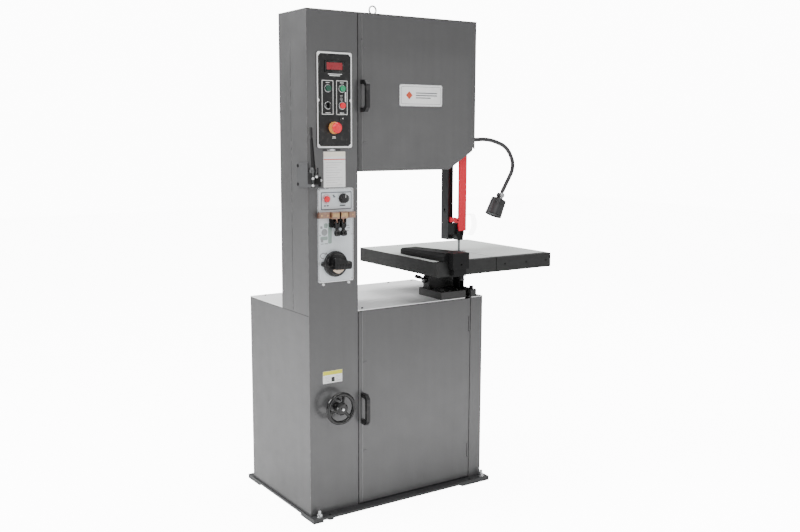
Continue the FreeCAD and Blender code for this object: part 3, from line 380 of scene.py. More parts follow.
def facing(origin, out=(0, -1, 0), up=(0, 0, 1)):
    """Matrix from drawing space (x right, y up, z towards the viewer) to a face."""
    z = Vector(out).normalized()
    up = Vector((0, 1, 0) if abs(z.dot(Vector(up))) > 0.99 else up)
    y = (up - z * up.dot(z)).normalized()
    x = y.cross(z)
    turn = Matrix((x, y, z)).transposed().to_4x4()
    return Matrix.Translation(origin) @ turn


def rect(x0, x1, y0, y1, radius=0.0, steps=6):
    """Outline of a rectangle, with round corners if a radius is given."""
    if radius <= 0:
        return [(x0, y0), (x1, y0), (x1, y1), (x0, y1)]
    points = []
    for cx, cy, start in ((x1 - radius, y0 + radius, -90), (x1 - radius, y1 - radius, 0),
                          (x0 + radius, y1 - radius, 90), (x0 + radius, y0 + radius, 180)):
        for k in range(steps + 1):
            a = math.radians(start + 90 * k / steps)
            points.append((cx + radius * math.cos(a), cy + radius * math.sin(a)))
    return points


def circle(x, y, radius, steps=40):
    return [(x + radius * math.cos(2 * math.pi * k / steps),
             y + radius * math.sin(2 * math.pi * k / steps)) for k in range(steps)]


def cross(a, b):
    """Plus sign reaching a from the middle, with arms 2b wide."""
    return [(-a, -b), (-b, -b), (-b, -a), (b, -a), (b, -b), (a, -b), (a, b), (b, b), (b, a),
            (-b, a), (-b, b), (-a, b)]


def relief(shapes, thick, bevel=0.15):
    """Flat shapes in mm, each (outline, *holes), as one bmesh standing 0..thick."""
    curve = bpy.data.curves.new("relief", "CURVE")
    curve.dimensions = "2D"
    curve.fill_mode = "BOTH"
    curve.extrude = (thick / 2 - bevel) * MM
    curve.bevel_depth = bevel * MM
    curve.bevel_resolution = 1
    curve.offset = -bevel * MM
    for shape in shapes:
        for outline in shape:
            spline = curve.splines.new("POLY")
            spline.points.add(len(outline) - 1)
            for point, (x, y) in zip(spline.points, outline):
                point.co = (x * MM, y * MM, 0, 1)
            spline.use_cyclic_u = True
    holder = bpy.data.objects.new("relief", curve)
    bpy.context.scene.collection.objects.link(holder)
    bpy.context.view_layer.update()
    mesh = bpy.data.meshes.new_from_object(holder.evaluated_get(
        bpy.context.evaluated_depsgraph_get()))
    bpy.data.objects.remove(holder)
    bpy.data.curves.remove(curve)
    bm = bmesh.new()
    bm.from_mesh(mesh)
    bpy.data.meshes.remove(mesh)
    bmesh.ops.translate(bm, verts=bm.verts, vec=(0, 0, thick / 2 * MM))
    return bm


def raised(name, shapes, thick, look, y, body="root", bevel=0.15):
    """Relief on a face that looks to the front, drawn straight in x and z."""
    bm = relief(shapes, thick, bevel)
    bm.transform(facing(at(0, y, 0)))
    return from_bmesh(name, bm, look, body)


def lathe(bm, profile, place, steps=40):
    """Turns (radius, height) pairs in mm about the drawing's z axis."""
    rings = []
    for radius, height in profile:
        if radius < 1e-6:
            rings.append([bm.verts.new(place @ Vector((0, 0, height * MM)))])
            continue
        ring = []
        for k in range(steps):
            a = 2 * math.pi * k / steps
            ring.append(bm.verts.new(place @ Vector((radius * math.cos(a) * MM,
                                                     radius * math.sin(a) * MM, height * MM))))
        rings.append(ring)
    for low, high in zip(rings, rings[1:]):
        for k in range(steps):
            a, b = low[k % len(low)], low[(k + 1) % len(low)]
            c, d = high[(k + 1) % len(high)], high[k % len(high)]
            corners = []
            for v in (a, b, c, d):
                if v not in corners:
                    corners.append(v)
            if len(corners) > 2:
                bm.faces.new(corners)
    return bm


def turned(name, profile, spots, look, body="root", out=(0, -1, 0), steps=40):
    bm = bmesh.new()
    for spot in spots:
        lathe(bm, profile, facing(at(*spot), out), steps)
    return from_bmesh(name, bm, look, body)


def merge(target, source, place):
    source.transform(place)
    mesh = bpy.data.meshes.new("merge")
    source.to_mesh(mesh)
    source.free()
    target.from_mesh(mesh)
    bpy.data.meshes.remove(mesh)


def block(bm, x0, x1, y0, y1, z0, z1, bevel=0.6):
    """Bevelled block, in mm from the cabinet's corner."""
    part = bmesh.new()
    bmesh.ops.create_cube(part, size=1.0)
    size = Matrix.Diagonal(((x1 - x0) * MM, (y1 - y0) * MM, (z1 - z0) * MM, 1))
    part.transform(size)
    if bevel:
        bmesh.ops.bevel(part, geom=part.edges, offset=bevel * MM, segments=2, profile=0.6,
                        affect="EDGES")
    middle = at((x0 + x1) / 2, (y0 + y1) / 2, (z0 + z1) / 2)
    merge(bm, part, Matrix.Translation(middle))
    return bm


def screws(name, spots, radius, height, look="zinc", out=(0, -1, 0), drive="cross",
           body="root"):
    """Screw heads with a real recess, each turned a little further than the last."""
    turn_step = 0.7
    bm = bmesh.new()
    for k, spot in enumerate(spots):
        if drive == "hex":
            recess = circle(0, 0, radius * 0.5, 6)
        elif drive == "slot":
            recess = rect(-radius * 0.85, radius * 0.85, -radius * 0.13, radius * 0.13)
        else:
            recess = cross(radius * 0.55, radius * 0.13)
        a = turn_step * k
        recess = [(x * math.cos(a) - y * math.sin(a), x * math.sin(a) + y * math.cos(a))
                  for x, y in recess]
        place = facing(at(*spot), out)
        crown = relief([(circle(0, 0, radius, 28), recess)], height * 0.6, radius * 0.12)
        merge(bm, crown, place @ Matrix.Translation((0, 0, height * 0.4 * MM)))
        lathe(bm, [(0, 0), (radius, 0), (radius, height * 0.45), (0, height * 0.45)], place, 28)
    return from_bmesh(name, bm, look, body)


def tube(bm, points, radius, steps=12):
    """Round bar along a list of points."""
    rings, side = [], Vector((0, 1, 0))
    for k, point in enumerate(points):
        before, after = points[max(k - 1, 0)], points[min(k + 1, len(points) - 1)]
        along = (after - before).normalized()
        side = (side - along * side.dot(along)).normalized()
        other = along.cross(side)
        rings.append([bm.verts.new(point + (side * math.cos(a) + other * math.sin(a)) * radius)
                      for a in (2 * math.pi * j / steps for j in range(steps))])
    for low, high in zip(rings, rings[1:]):
        for j in range(steps):
            bm.faces.new((low[j], low[(j + 1) % steps], high[(j + 1) % steps], high[j]))
    bm.faces.new(rings[0][::-1])
    bm.faces.new(rings[-1])
    return bm


def bars(rows, thick=1.4):
    """Rows of short printed dashes: (x0, x1, z)."""
    return [(rect(x0, x1, z - thick / 2, z + thick / 2),) for x0, x1, z in rows]


# ---- Control panel ------------------------------------------------------------------
PANEL_Y = -4.0                    # front face of the control panel
inner = [(45, 1457), (55, 1447), (176, 1447), (186, 1457), (186, 1610), (180, 1618), (186, 1626),
         (186, 1780), (176, 1790), (55, 1790), (45, 1780), (45, 1626), (51, 1618), (45, 1610)]
raised("panel_border", [(rect(40.2, 190.8, 1441.2, 1795.8, 8), inner)], 0.7, "lacquer_white",
       PANEL_Y)
boxes = []
for x0, x1 in ((61, 110), (123, 171.5)):
    boxes.append((rect(x0, x1, 1565, 1692, 2), rect(x0 + 2.2, x1 - 2.2, 1567.2, 1689.8, 1.5)))
raised("panel_outlines", boxes, 0.3, "white_ink", PANEL_Y, bevel=0.05)
marks = bars([(88, 148, 1715), (94, 140, 1709.5), (76, 98, 1571.5), (138, 156, 1571.5),
              (78, 94, 1683.5), (139, 155, 1683.5), (106, 118, 1483), (104, 120, 1478)], 2.6)
marks.append((rect(160.5, 165.5, 1613, 1650, 1),))
marks += bars([(140, 150, 1637), (141, 149, 1632), (139, 151, 1624), (142, 149, 1619)], 1.3)
raised("panel_marks", marks, 0.3, "white_ink", PANEL_Y, bevel=0.04)
raised("display_bezel", [(rect(73, 158, 1721, 1765, 3), rect(79.2, 151.8, 1726.2, 1759.8, 2))],
       2.2, "gloss_black", PANEL_Y)
BEZEL = [(11.8, 0), (15.2, 0), (15.2, 2.2), (14.4, 3.4), (12.6, 3.9), (11.6, 3.2), (11.6, 0.2)]
raised("display_mask", [(rect(78.4, 152.6, 1725.4, 1760.6, 2), rect(81, 149, 1731, 1757.5, 1.5))],
       0.7, "gloss_black", PANEL_Y - 1.5, bevel=0.1)
turned("button_bezels", BEZEL, [(x, PANEL_Y, z) for x in (85.5, 147.0) for z in (1662.0, 1599.0)],
       "zinc")
turned("selector_pointer", [(0, 0), (1.1, 0), (1.1, 0.5), (0, 0.5)], [(85.5, -24.0, 1607.5)],
       "white_ink", "selector_switch", steps=16)
turned("estop_collar", [(13.2, 0), (22.6, 0), (22.6, 6.5), (21.4, 9.4), (13.2, 9.6)],
       [(112, PANEL_Y, 1516)], "orange_plastic")
# Orange ring on the side of the red mushroom: painted highlight.
turned("estop_side_highlight", [(7.5, 0), (16.6, 0), (20.3, 3.6), (20.3, 7.4), (19.6, 8)],
       [(112, -17.8, 1516)], "orange_plastic", "estop_button")
turned("panel_key_lock", [(0, 0), (6, 0), (6, 3), (5, 4), (2, 4), (1.6, 2.5), (0, 2.5)],
       [(141, PANEL_Y, 1548)], "gloss_black", steps=28)
raised("panel_lock_mark", [(circle(151, 1551, 2.4, 20),)], 0.4, "white_ink", PANEL_Y,
       bevel=0.08)
# Dark plates stand in for the shade inside the column's slots: painted shade.
raised("column_slot_shade", [(rect(64, 84, 1430.5, 1435.5, 2),), (rect(121, 142, 1430.5, 1435.5, 2),)],
       0.5, "dark_ink", 0.0)
raised("column_slot_strip", [(rect(84.5, 120.5, 1429.5, 1437, 1.5),)], 1.0, "zinc", 0.0)

# ---- Cards on the column ------------------------------------------------------------
CARD_Y = -0.5                     # the cards are 0.5 thick and stand on y 0
raised("notice_card", [(rect(68, 163, 1292, 1427, 1.5),)], 0.5, "paper", 0.0,
       bevel=0.08)
raised("notice_header", [(rect(68.6, 162.4, 1408, 1426.4, 1.2),)], 0.2, "cream", CARD_Y,
       bevel=0.03)
raised("notice_rule", [(rect(68.8, 162.2, 1396, 1399.5),)], 0.2, "red_ink", CARD_Y,
       bevel=0.03)
lines = [(78 + 3 * (k % 2), 150 - 11 * (k % 3), 1386 - 9.5 * k) for k in range(10)]
raised("notice_lines", bars(lines, 0.9), 0.15, "grey_ink", CARD_Y, bevel=0.02)
raised("stock_card", [(rect(58, 145, 528, 577, 1.5),)], 0.5, "paper", 0.0,
       bevel=0.08)
raised("stock_band", [(rect(58.6, 144.4, 561, 576.4, 1.2),)], 0.2, "yellow_ink", CARD_Y,
       bevel=0.03)
lines = [(68, 90 - 5 * (k % 2), 554 - 6 * k) for k in range(4)]
lines += [(116, 138 - 6 * (k % 3), 554 - 6 * k) for k in range(4)]
raised("stock_mark", [(rect(96, 110, 533, 551, 2),)], 0.2, "dark_ink", CARD_Y,
       bevel=0.03)
raised("stock_lines", bars(lines, 0.9), 0.15, "grey_ink", CARD_Y, bevel=0.02)

# ---- Welder panel -------------------------------------------------------------------
WELD_Y, FRAME_Y = -3.0, -4.5       # sheet, and the framed field round button and knob
raised("weld_border", [(rect(40.3, 196.7, 928.3, 1289.7, 8), rect(44.5, 192.5, 932.5, 1285.5, 5))],
       0.9, "zinc", WELD_Y)
raised("weld_outline", [(rect(53.6, 187.4, 1207.6, 1274.4, 1.5),
                         rect(56.6, 184.4, 1210.6, 1271.4, 1))],
       0.3, "slate_ink", FRAME_Y, bevel=0.05)
raised("weld_ring", [(circle(*WELD_BUTTON, 19.5), circle(*WELD_BUTTON, 12))], 0.5, "blue_white",
       FRAME_Y, bevel=0.08)
turned("weld_bezel", [(11.8, 0), (14.4, 0), (14.4, 1.6), (13.2, 2.6), (11.8, 2.2)],
       [(WELD_BUTTON[0], FRAME_Y, WELD_BUTTON[1])], "zinc")
ticks, dial_radius = [], 20
for k in range(11):
    c, s = direction(240 - 30 * k)
    x, z = WELD_KNOB[0] + dial_radius * c, WELD_KNOB[1] + dial_radius * s
    ticks.append(([(x - 0.5 * s, z + 0.5 * c), (x + 3 * c - 0.5 * s, z + 3 * s + 0.5 * c),
                   (x + 3 * c + 0.5 * s, z + 3 * s - 0.5 * c), (x + 0.5 * s, z - 0.5 * c)],))
turned("weld_button_ring", [(10.6, 0), (15.6, 0), (15.6, 1), (14.6, 1.8), (10.6, 1.8)],
       [(WELD_BUTTON[0], FRAME_Y - 0.1, WELD_BUTTON[1])], "rose_ink")
raised("weld_scale", ticks, 0.25, "slate_ink", FRAME_Y, bevel=0.04)
raised("weld_marks", bars([(66, 75, 1223), (78, 87, 1223), (135, 160, 1222), (104, 112, 1262),
                           (106, 116, 1256)], 4.2),
       0.25, "slate_ink", FRAME_Y, bevel=0.04)
turned("weld_knob_skirt", [(8, 0), (19.4, 0), (19.4, 1.6), (17, 3.2), (8, 3.4)],
       [(WELD_KNOB[0], FRAME_Y - 0.1, WELD_KNOB[1])], "gloss_black", "weld_knob",
       steps=48)
raised("weld_knob_line", [(rect(149.2, 150.8, 1252, 1264),)], 0.3, "white_ink", -25.5,
       "weld_knob", 0.05)
screws("weld_panel_screws", [(x, WELD_Y, z) for x in (48, 189) for z in (936, 1110, 1282)],
       3.4, 1.8)
# Grey and pale green patches left of the clamp levers: painted shadow on the welder panel.
raised("weld_lever_shadow", [(circle(68, 1122, 13, 24),), (rect(52, 62, 1084, 1100, 3),),
                             (rect(50, 60, 1136, 1146, 3),)],
       0.3, "grey_ink", WELD_Y, bevel=0.05)
raised("weld_green_shadow", [(rect(84, 100, 1078, 1158, 5),), (rect(66, 82, 1138, 1156, 5),),
                           (rect(50, 82, 1092, 1106, 4),)],
       0.25, "pale_green_ink", WELD_Y, bevel=0.05)
raised("weld_lower_marks", bars([(52, 64, 1078), (68, 84, 1078), (164, 178, 1144),
                                 (168, 180, 1134), (166, 176, 1124)], 3.2),
       0.25, "grey_ink", WELD_Y, bevel=0.04)
arc = []
for wide, tall, angles in ((14, 12, range(20, 281, 13)), (10, 8, range(280, 19, -13))):
    arc += [(62 + wide * c, 1032 + tall * s) for c, s in map(direction, angles)]
raised("rotary_arrow", [(arc,), ([(68, 1034), (84, 1034), (75, 1046)],)], 0.25,
       "grey_ink", WELD_Y, bevel=0.04)
bm = bmesh.new()
block(bm, 88, 160, -13, WELD_Y, 1140, 1174, 1.5)
block(bm, 98, 121, -15, -12, 1146, 1171, 1.0)
block(bm, 127, 150, -15, -12, 1146, 1171, 1.0)
block(bm, 120, 128, -30, -12, 1164, 1174, 1.0)
from_bmesh("jaw_bracket", bm, "cast_black", "root")
screws("jaw_screws", [(93, -34, 1192), (110, -34, 1180), (131, -34, 1192), (149, -34, 1180),
                      (46, -24, 1188), (72, -24, 1188), (180, -26, 1187)], 3.6, 1.6, "brass",
       drive="hex")
bm = bmesh.new()
for x0, x1 in ((86, 117), (125, 155)):
    block(bm, x0, x1, -35.5, -33.8, 1182, 1196, 0.7)
block(bm, 84.4, 85.6, -26, -14, 1176, 1198, 0.4)
block(bm, 156, 164, -20, -14, 1178, 1196, 1)
from_bmesh("jaw_facings", bm, "brass", "root")
turned("panel_feet", [(0, 0), (4.6, 0), (4.6, 5), (3.8, 6.2), (0, 6.4)],
       [(62, 0, 921), (175, 0, 921)], "lacquer_white", steps=24)
ROT_X, ROT_Z = 112.0, 998.5
sag = [(ROT_X - 19 + 4.2 * k, ROT_Z - 22 - 14 * math.sin(math.pi * k / 12)) for k in range(13)]
raised("rotary_crescent", [(sag + [(ROT_X + 31, ROT_Z - 20.5), (ROT_X - 19, ROT_Z - 20.5)],)],
       0.6, "pale_gold", -23.0, "rotary_switch", 0.1)
turned("rotary_rim", [(46, 0), (50.0, 0), (50.0, 4), (49, 5), (46, 5)],
       [(ROT_X, -6, ROT_Z)], "gloss_black", "rotary_switch", steps=64)
turned("rotary_skirt", [(38, 0), (43, 0), (42, 2.4), (38, 3)],
       [(ROT_X, -19, ROT_Z)], "gloss_black", "rotary_switch", steps=64)
raised("rotary_pointer_mark", [(circle(ROT_X - 52, ROT_Z + 2, 3, 20),)], 0.5, "dark_ink", -17.0,
       "rotary_switch", 0.06)
bm = bmesh.new()
for k in range(5):
    block(bm, ROT_X - 12 + 12 * k, ROT_X - 7 + 12 * k, -50.4, -48.8, ROT_Z - 12, ROT_Z + 4, 0.7)
from_bmesh("rotary_grip_ribs", bm, "gloss_black", "rotary_switch")

# ---- Shear --------------------------------------------------------------------------
screws("shear_side_screws", [(-6, 66, 1374), (-6, 66, 1304)], 6.5, 1.7, "black_enamel",
       (-1, 0, 0), "hex")
screws("shear_front_screws", [(-3.3, -47, 1330), (9, -52, 1336), (-3.3, -47, 1304),
                              (34, -40, 1322)], 4.6, 2.6, "lacquer_white", drive="slot")
turned("shear_pin_caps", [(0, 0), (9, 0), (9, 4), (7.4, 6), (0, 6.6)], [(12, -40, 1358)],
       "black_enamel", out=(1, 0, 0), steps=28)
bm = bmesh.new()
block(bm, 20, 36, -40, -1, 1298, 1336, 2)
block(bm, 6, 26, -54, -46, 1308, 1332, 1.2)
block(bm, -7.9, -5, -46, -14, 1308, 1350, 0.8)
block(bm, 12.6, 30, -30, -1, 1338, 1368, 2.5)
block(bm, -7.9, -2, -47, -40, 1296, 1312, 1.2)
from_bmesh("shear_dies", bm, "black_enamel", "root")
lever_c, lever_s = direction(7)            # the lever leans 7 degrees to the back
up = Vector((0, lever_s, lever_c))
grip_foot = at(*SHEAR_PIVOT) + up * 0.116
bm = bmesh.new()
lathe(bm, [(0, 0), (4.2, 0), (5.0, 1), (6.7, 34), (7.0, 40), (6.0, 43.5), (3, 45), (0, 45.2)],
      facing(grip_foot, up, (0, -1, 0)), 32)
from_bmesh("shear_grip", bm, "rubber", "shear_lever")

# ---- Doors --------------------------------------------------------------------------
for label, body, spots, z0, z1 in (("head", "head_door", (1823, 1461), 1352, 1943),
                                   ("base", "base_door", (592, 225), 8, 796)):
    shapes = [(rect(243, 259, z - 3, z + 3, 2.8),) for z in spots]
    raised("%s_door_dimples" % label, shapes, 1.6, "grey_enamel_head", 0.2, body,
           0.75)
    # The bead's paint is a lighter copy of the grey enamel, a painted highlight on the rolled
    # edge.
    raised("%s_door_bead" % label, [(rect(236.6, 240.2, z0, z1, 1.7),)], 1.4, "bead_highlight_enamel", 0.3,
           body, 0.65)
raised("base_door_seal", [(rect(244, 740, 1.5, 6.8, 0.8),)], 0.8, "dark_ink", 0.0,
       bevel=0.1)
for label, levels in (("head", (1584, 1691)), ("base", (347, 458))):
    screws("%s_handle_screws" % label, [(239, -30.2, z) for z in levels], 3.6, 0.8,
           "black_enamel", drive="hex", body="%s_door" % label)
PLATE_Y, PRINT_Y = -2.5, -3.0     # nameplate, and the face of its white sheet
raised("nameplate_face", [(rect(413, 615, 1606, 1685, 6),)], 0.5, "lacquer_white", PLATE_Y,
       "head_door", 0.12)
raised("nameplate_rule", [(rect(418, 610, 1611, 1680, 4), rect(419.6, 608.4, 1612.6, 1678.4, 3))],
       0.2, "grey_ink", PRINT_Y, "head_door", 0.04)
lozenge = [(440, 1645.5), (456, 1629.5), (472, 1645.5), (456, 1661.5)]
raised("nameplate_lozenge", [(lozenge,)], 0.3, "red_ink", PRINT_Y, "head_door",
       0.06)
raised("nameplate_bars", bars([(488, 592, 1655), (488, 592, 1645.5), (488, 560, 1636)], 3.2),
       0.25, "slate_ink", PRINT_Y, "head_door", 0.05)

# ---- Cabinet ------------------------------------------------------------------------
spots = ((236, 40), (252, 24), (690, 505), (60, 505), (820, 505))
screws("top_plate_screws", [(x, y, CABINET_TOP) for x, y in spots], 5, 3.4, "black_enamel",
       (0, 0, 1), "hex")
bm = bmesh.new()
block(bm, 219, 238, 1.5, 20, 798, 804.4, 0.6)
from_bmesh("corner_gasket", bm, "rubber", "root")
bm = bmesh.new()
block(bm, -0.6, 0.6, 2, COLUMN_BACK, 800.2, 802.4, 0.4)
block(bm, -0.6, 0.6, COLUMN_BACK, 526, 800.2, 801.6, 0.3)
from_bmesh("side_seam", bm, "dark_ink", "root")


def rear_cover(name, outline, thick, back, look):
    """Plate on a face that looks to the back, drawn in the machine's own x and z."""
    bm = relief([(outline,)], thick, thick / 4)
    bm.transform(facing(at(0, back, 0), (0, 1, 0)) @ Matrix.Diagonal((-1, 1, 1, 1)))
    bmesh.ops.reverse_faces(bm, faces=bm.faces)
    from_bmesh(name, bm, look, "root")


def cover_screws(name, spots, back, radius=4.5, height=2.6):
    screws(name, [(x, back, z) for x, z in spots], radius, height, "zinc", (0, 1, 0))


rear_cover("rear_cover", rect(290, 800, 60, 720, 12), 2.0, CABINET_BACK, "grey_enamel")
cover_screws("rear_cover_screws", [(x, z) for x in (304, 545, 786) for z in (74, 390, 706)
                                   if (x, z) != (545, 390)], CABINET_BACK + 2, 5, 3)
turned("cable_gland", [(9, 0), (22, 0), (22, 6), (18, 7), (18, 15), (14, 18), (9, 18)],
       [(120, CABINET_BACK, 90)], "black_plastic", out=(0, 1, 0), steps=6)
for name, outline, xs, zs in (
        ("head_rear_cover", rect(300, 520, 1500, 1790, 8), (310, 510), (1512, 1645, 1778)),
        ("column_rear_cover", rect(40, 180, 900, 1700, 8), (49, 171), (912, 1180, 1430, 1688))):
    rear_cover(name, outline, 1.6, COLUMN_BACK, "grey_enamel_head")
    cover_screws(name.replace("rear_cover", "cover_screws"), [(x, z) for x in xs for z in zs],
                 COLUMN_BACK + 1.6)

# ---- Speed handwheel ----------------------------------------------------------------
turned("handwheel_cap", [(0, 0), (6.6, 0), (6.6, 3), (4.8, 4.4), (4.8, 7), (0, 7.4)],
       [(HANDWHEEL_X, -64, HANDWHEEL_Z)], "zinc", "speed_handwheel", steps=6)
turned("handwheel_dish", [(6.8, 0), (20, -1), (25, -6), (25.5, -12), (17, -20), (17, -14)],
       [(HANDWHEEL_X, -63.8, HANDWHEEL_Z)], "gloss_black", "speed_handwheel",
       steps=48)
turned("handwheel_flange", [(26, 0), (33, 0), (33, 3.5), (31.5, 5), (26, 5)],
       [(HANDWHEEL_X, 0, HANDWHEEL_Z)], "black_enamel", steps=48)
circle_radius = 29.5
screws("flange_screws", [(HANDWHEEL_X + circle_radius * math.cos(a), -5,
                          HANDWHEEL_Z + circle_radius * math.sin(a))
                         for a in (0.5, 2.6, 4.7)], 2.4, 1.2)

# ---- Table and fence ----------------------------------------------------------------
turned("fence_knob", [(0, 0), (5, 0), (8.4, -1.5), (8.4, -8), (6.5, -9.5), (0, -10)],
       [(583, -197, 928)], "black_plastic", "fence", (0, 0, 1), 20)
# Dark disc stands in for the shade inside a hole in the fence head: painted shade.
turned("fence_hole_shade", [(0, 0), (3.4, 0), (3.4, 1.6), (2.4, 2.2), (0, 2.2)], [(565, -205, 985)],
       "dark_ink", "fence", steps=20)
screws("fence_screws", [(543, -150, 1029.2), (552, -60, 1026.2), (548, 30, 1023.6)], 4.4, 1.8,
       "black_enamel", (0, 0, 1), "hex", "fence")
screws("rail_screws", [(x, -181.7, 966) for x in (815, 930, 1040)], 4.4, 0.8,
       "black_enamel", drive="hex", body="table")
circle_radius = 22
screws("insert_screws", [(BLADE_X + circle_radius * math.cos(a),
                          68.5 + circle_radius * math.sin(a), 995.6) for a in (0.1, 2.2, 3.9)],
       2.2, 0.35, "steel", (0, 0, 1), "slot", "table")

# ---- Guides, blade and trunnion -----------------------------------------------------
screws("guide_screws", [(740, 58, 1100), (740, 58, 1082), (776, 58, 1104)], 3.4, 1.6,
       "black_enamel", drive="hex", body="guide_post")
screws("guard_screws", [(744.5, 48, 1130)], 3.2, 1.4, "black_enamel", drive="cross",
       body="guide_post")
bm = bmesh.new()
block(bm, 742, 762, 50, 58, 1072, 1092, 2)
block(bm, 772, 784, 54, 70, 1070, 1096, 2.5)
block(bm, 748, 760, 60, 80, 1058, 1068, 2.5)
from_bmesh("guide_jaws", bm, "black_enamel", "guide_post")
turned("post_pin", [(0, 0), (4.6, 0), (4.6, 0.3), (0, 0.35)], [(731, 125, 1163.5)], "gloss_black",
       "guide_post", (-1, 0, 0), 28)
bm = bmesh.new()
pitch, tooth, half_thick = 3.2, 1.3, 0.4
front_y = (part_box("blade_band")[0] - CORNER).y / MM
z, last_tooth = 820.0, 1420.0
while z < last_tooth:
    corners = ((front_y, z), (front_y, z + pitch), (front_y - tooth, z + 0.5))
    left, right = ([bm.verts.new(at(x, *corner)) for corner in corners]
                   for x in (BLADE_X - half_thick, BLADE_X + half_thick))
    bm.faces.new(left)
    bm.faces.new(right[::-1])
    for k in range(3):
        n = (k + 1) % 3
        bm.faces.new((left[k], right[k], right[n], left[n]))
    z += pitch
from_bmesh("blade_teeth", bm, "blade_steel", "root")
scale_radius, scale_y, tilt_z, ticks = 143, 118, 996, 13
bm = bmesh.new()
for k in range(ticks):
    tick = (rect(-0.4, 0.4, 0, 6 if k % 3 == 0 else 3.5),)
    c, s = direction(-93 + 5.5 * (k - ticks // 2))
    spot = at(BLADE_X + scale_radius * c, scale_y, tilt_z + scale_radius * s)
    merge(bm, relief([tick], 0.2, 0.04), facing(spot, (0, -1, 0), (-c, 0, -s)))
from_bmesh("tilt_scale", bm, "grey_ink", "root")
screws("trunnion_set_screws", [(676, 12, 836), (694, 30, 836), (668, 34, 836), (736, 40, 836)],
       3.6, 1.4, "zinc", (0, 0, 1), "hex")
turned("tilt_lock_cap", [(0, 0), (5.5, 0), (5.5, 2), (4, 3.4), (0, 3.6)],
       [(629.5, 139, 872)], "zinc", "tilt_lock", (-1, 0, 0), 24)

# ---- Worklight ----------------------------------------------------------------------
ROUTE = [(795.5, 1466.0), (950.0, 1473.0), (1055.0, 1437.0), (1098.0, 1352.0), (1029.0, 1239.7)]
FIXED_AXIS = Vector((0, 1, 0))    # the arm bends and the lamp swivels about the y direction


def rounded_route(route, bend, step):
    """Centre line of the arm: straight runs and tangent arcs, as evenly spaced points."""
    arc_steps = 8
    corners = [Vector((x, LAMP_Y, z)) for x, z in route]
    line = [corners[0]]
    for before, corner, after in zip(corners, corners[1:], corners[2:]):
        back, ahead = (before - corner), (after - corner)
        half = back.angle(ahead) / 2
        trim = min(bend / math.tan(half), 0.45 * back.length, 0.45 * ahead.length)
        radius = trim * math.tan(half)
        back.normalize()
        ahead.normalize()
        centre = corner + (back + ahead).normalized() * (radius / math.sin(half))
        start, end = corner + back * trim - centre, corner + ahead * trim - centre
        sweep = start.angle(end)
        for k in range(arc_steps + 1):
            line.append(centre + (start * math.sin(sweep * (1 - k / arc_steps))
                                  + end * math.sin(sweep * k / arc_steps)) / math.sin(sweep))
    line.append(corners[-1])
    even, carry = [], 0.0
    for a, b in zip(line, line[1:]):
        length = (b - a).length
        while carry < length:
            even.append(a.lerp(b, carry / length))
            carry += step
        carry -= length
    return even


centre_line = rounded_route(ROUTE, 400, 1.0)
foot, tip = 24, 3                 # millimetres of arm left bare at the socket and at the lamp
lead, helix_radius, wire_radius = 5.2, 7.7, 1.3
helix = []
for k, point in enumerate(centre_line[foot:-tip]):
    along = (centre_line[k + foot + 2] - centre_line[k + foot - 1]).normalized()
    other = along.cross(FIXED_AXIS)
    for j in range(2):
        a = 2 * math.pi * (k + j / 2) / lead
        helix.append(at(*(point + along * (j / 2) + (FIXED_AXIS * math.cos(a)
                                                     + other * math.sin(a)) * helix_radius)))
bm = bmesh.new()
tube(bm, helix, wire_radius * MM, 6)
from_bmesh("gooseneck_spiral", bm, "black_plastic", "root")
turned("gooseneck_socket", [(9, 0), (17, 0), (17, 8), (15.5, 10), (15.5, 22), (11, 25), (9, 25)],
       [(793.6, LAMP_Y, 1466)], "black_enamel", out=(1, 0, 0), steps=6)
aim = Vector((-0.42, 0, -0.908)).normalized()
joint = at(LAMP_X, LAMP_Y, LAMP_Z)
for name, look, start, profile, slot in (
        ("lamp_collar", "zinc", 18, [(6, 0), (17, 0), (21, 2.0), (6, 2.0)], "zinc"),
        ("lamp_reflector", "blade_steel", 54,
         [(0, 0), (11, 0.5), (20, 6), (27.8, 18), (30.8, 36), (30.4, 36), (19, 7), (0, 2)],
         "aluminium"),
        ("lamp_bulb", "grey_ink", 56,
         [(0, 24), (7, 22), (11, 17), (12, 11), (8, 4), (6, 0), (0, 0)], "clear_plastic"),
        ("lamp_lip", "black_enamel", 92,
         [(33.2, 0), (36.9, 0), (37.3, 3.4), (35, 4.2), (33.2, 4)], "black_plastic")):
    bm = bmesh.new()
    lathe(bm, profile, facing(joint + aim * start * MM, aim, (0, 1, 0)), 48)
    from_bmesh(name, bm, look, "lamp_head")
across = aim.cross(FIXED_AXIS)
bm = bmesh.new()
ribs = 30
for k in range(ribs):
    a = 2 * math.pi * k / ribs
    side = FIXED_AXIS * math.cos(a) + across * math.sin(a)
    tube(bm, [joint + aim * 0.0215 + side * 0.0318, joint + aim * 0.048 + side * 0.0336],
         1.2 * MM, 6)
from_bmesh("lamp_ribs", bm, "black_plastic", "lamp_head")
for k, y in enumerate((LAMP_Y - 12, LAMP_Y + 12)):
    turned("lamp_swivel_cap_%d" % k, [(0, 0), (11, 0), (11, 3), (9, 5), (0, 5.4)],
           [(LAMP_X, y, LAMP_Z)], "zinc", "lamp_head", (0, -1 if k == 0 else 1, 0), 32)
bm = bmesh.new()
turn = Matrix((across, FIXED_AXIS, aim)).transposed().to_4x4()
for sign in (-1, 1):
    part = bmesh.new()
    bmesh.ops.create_cube(part, size=1.0)
    part.transform(Matrix.Diagonal((14 * MM, 1.6 * MM, 20 * MM, 1)))
    bmesh.ops.bevel(part, geom=part.edges, offset=0.6 * MM, segments=2, affect="EDGES")
    spot = joint + aim * 0.009 + Vector((0, sign * 13.2, 0)) * MM
    merge(bm, part, Matrix.Translation(spot) @ turn)
from_bmesh("lamp_fork", bm, "zinc", "lamp_head")

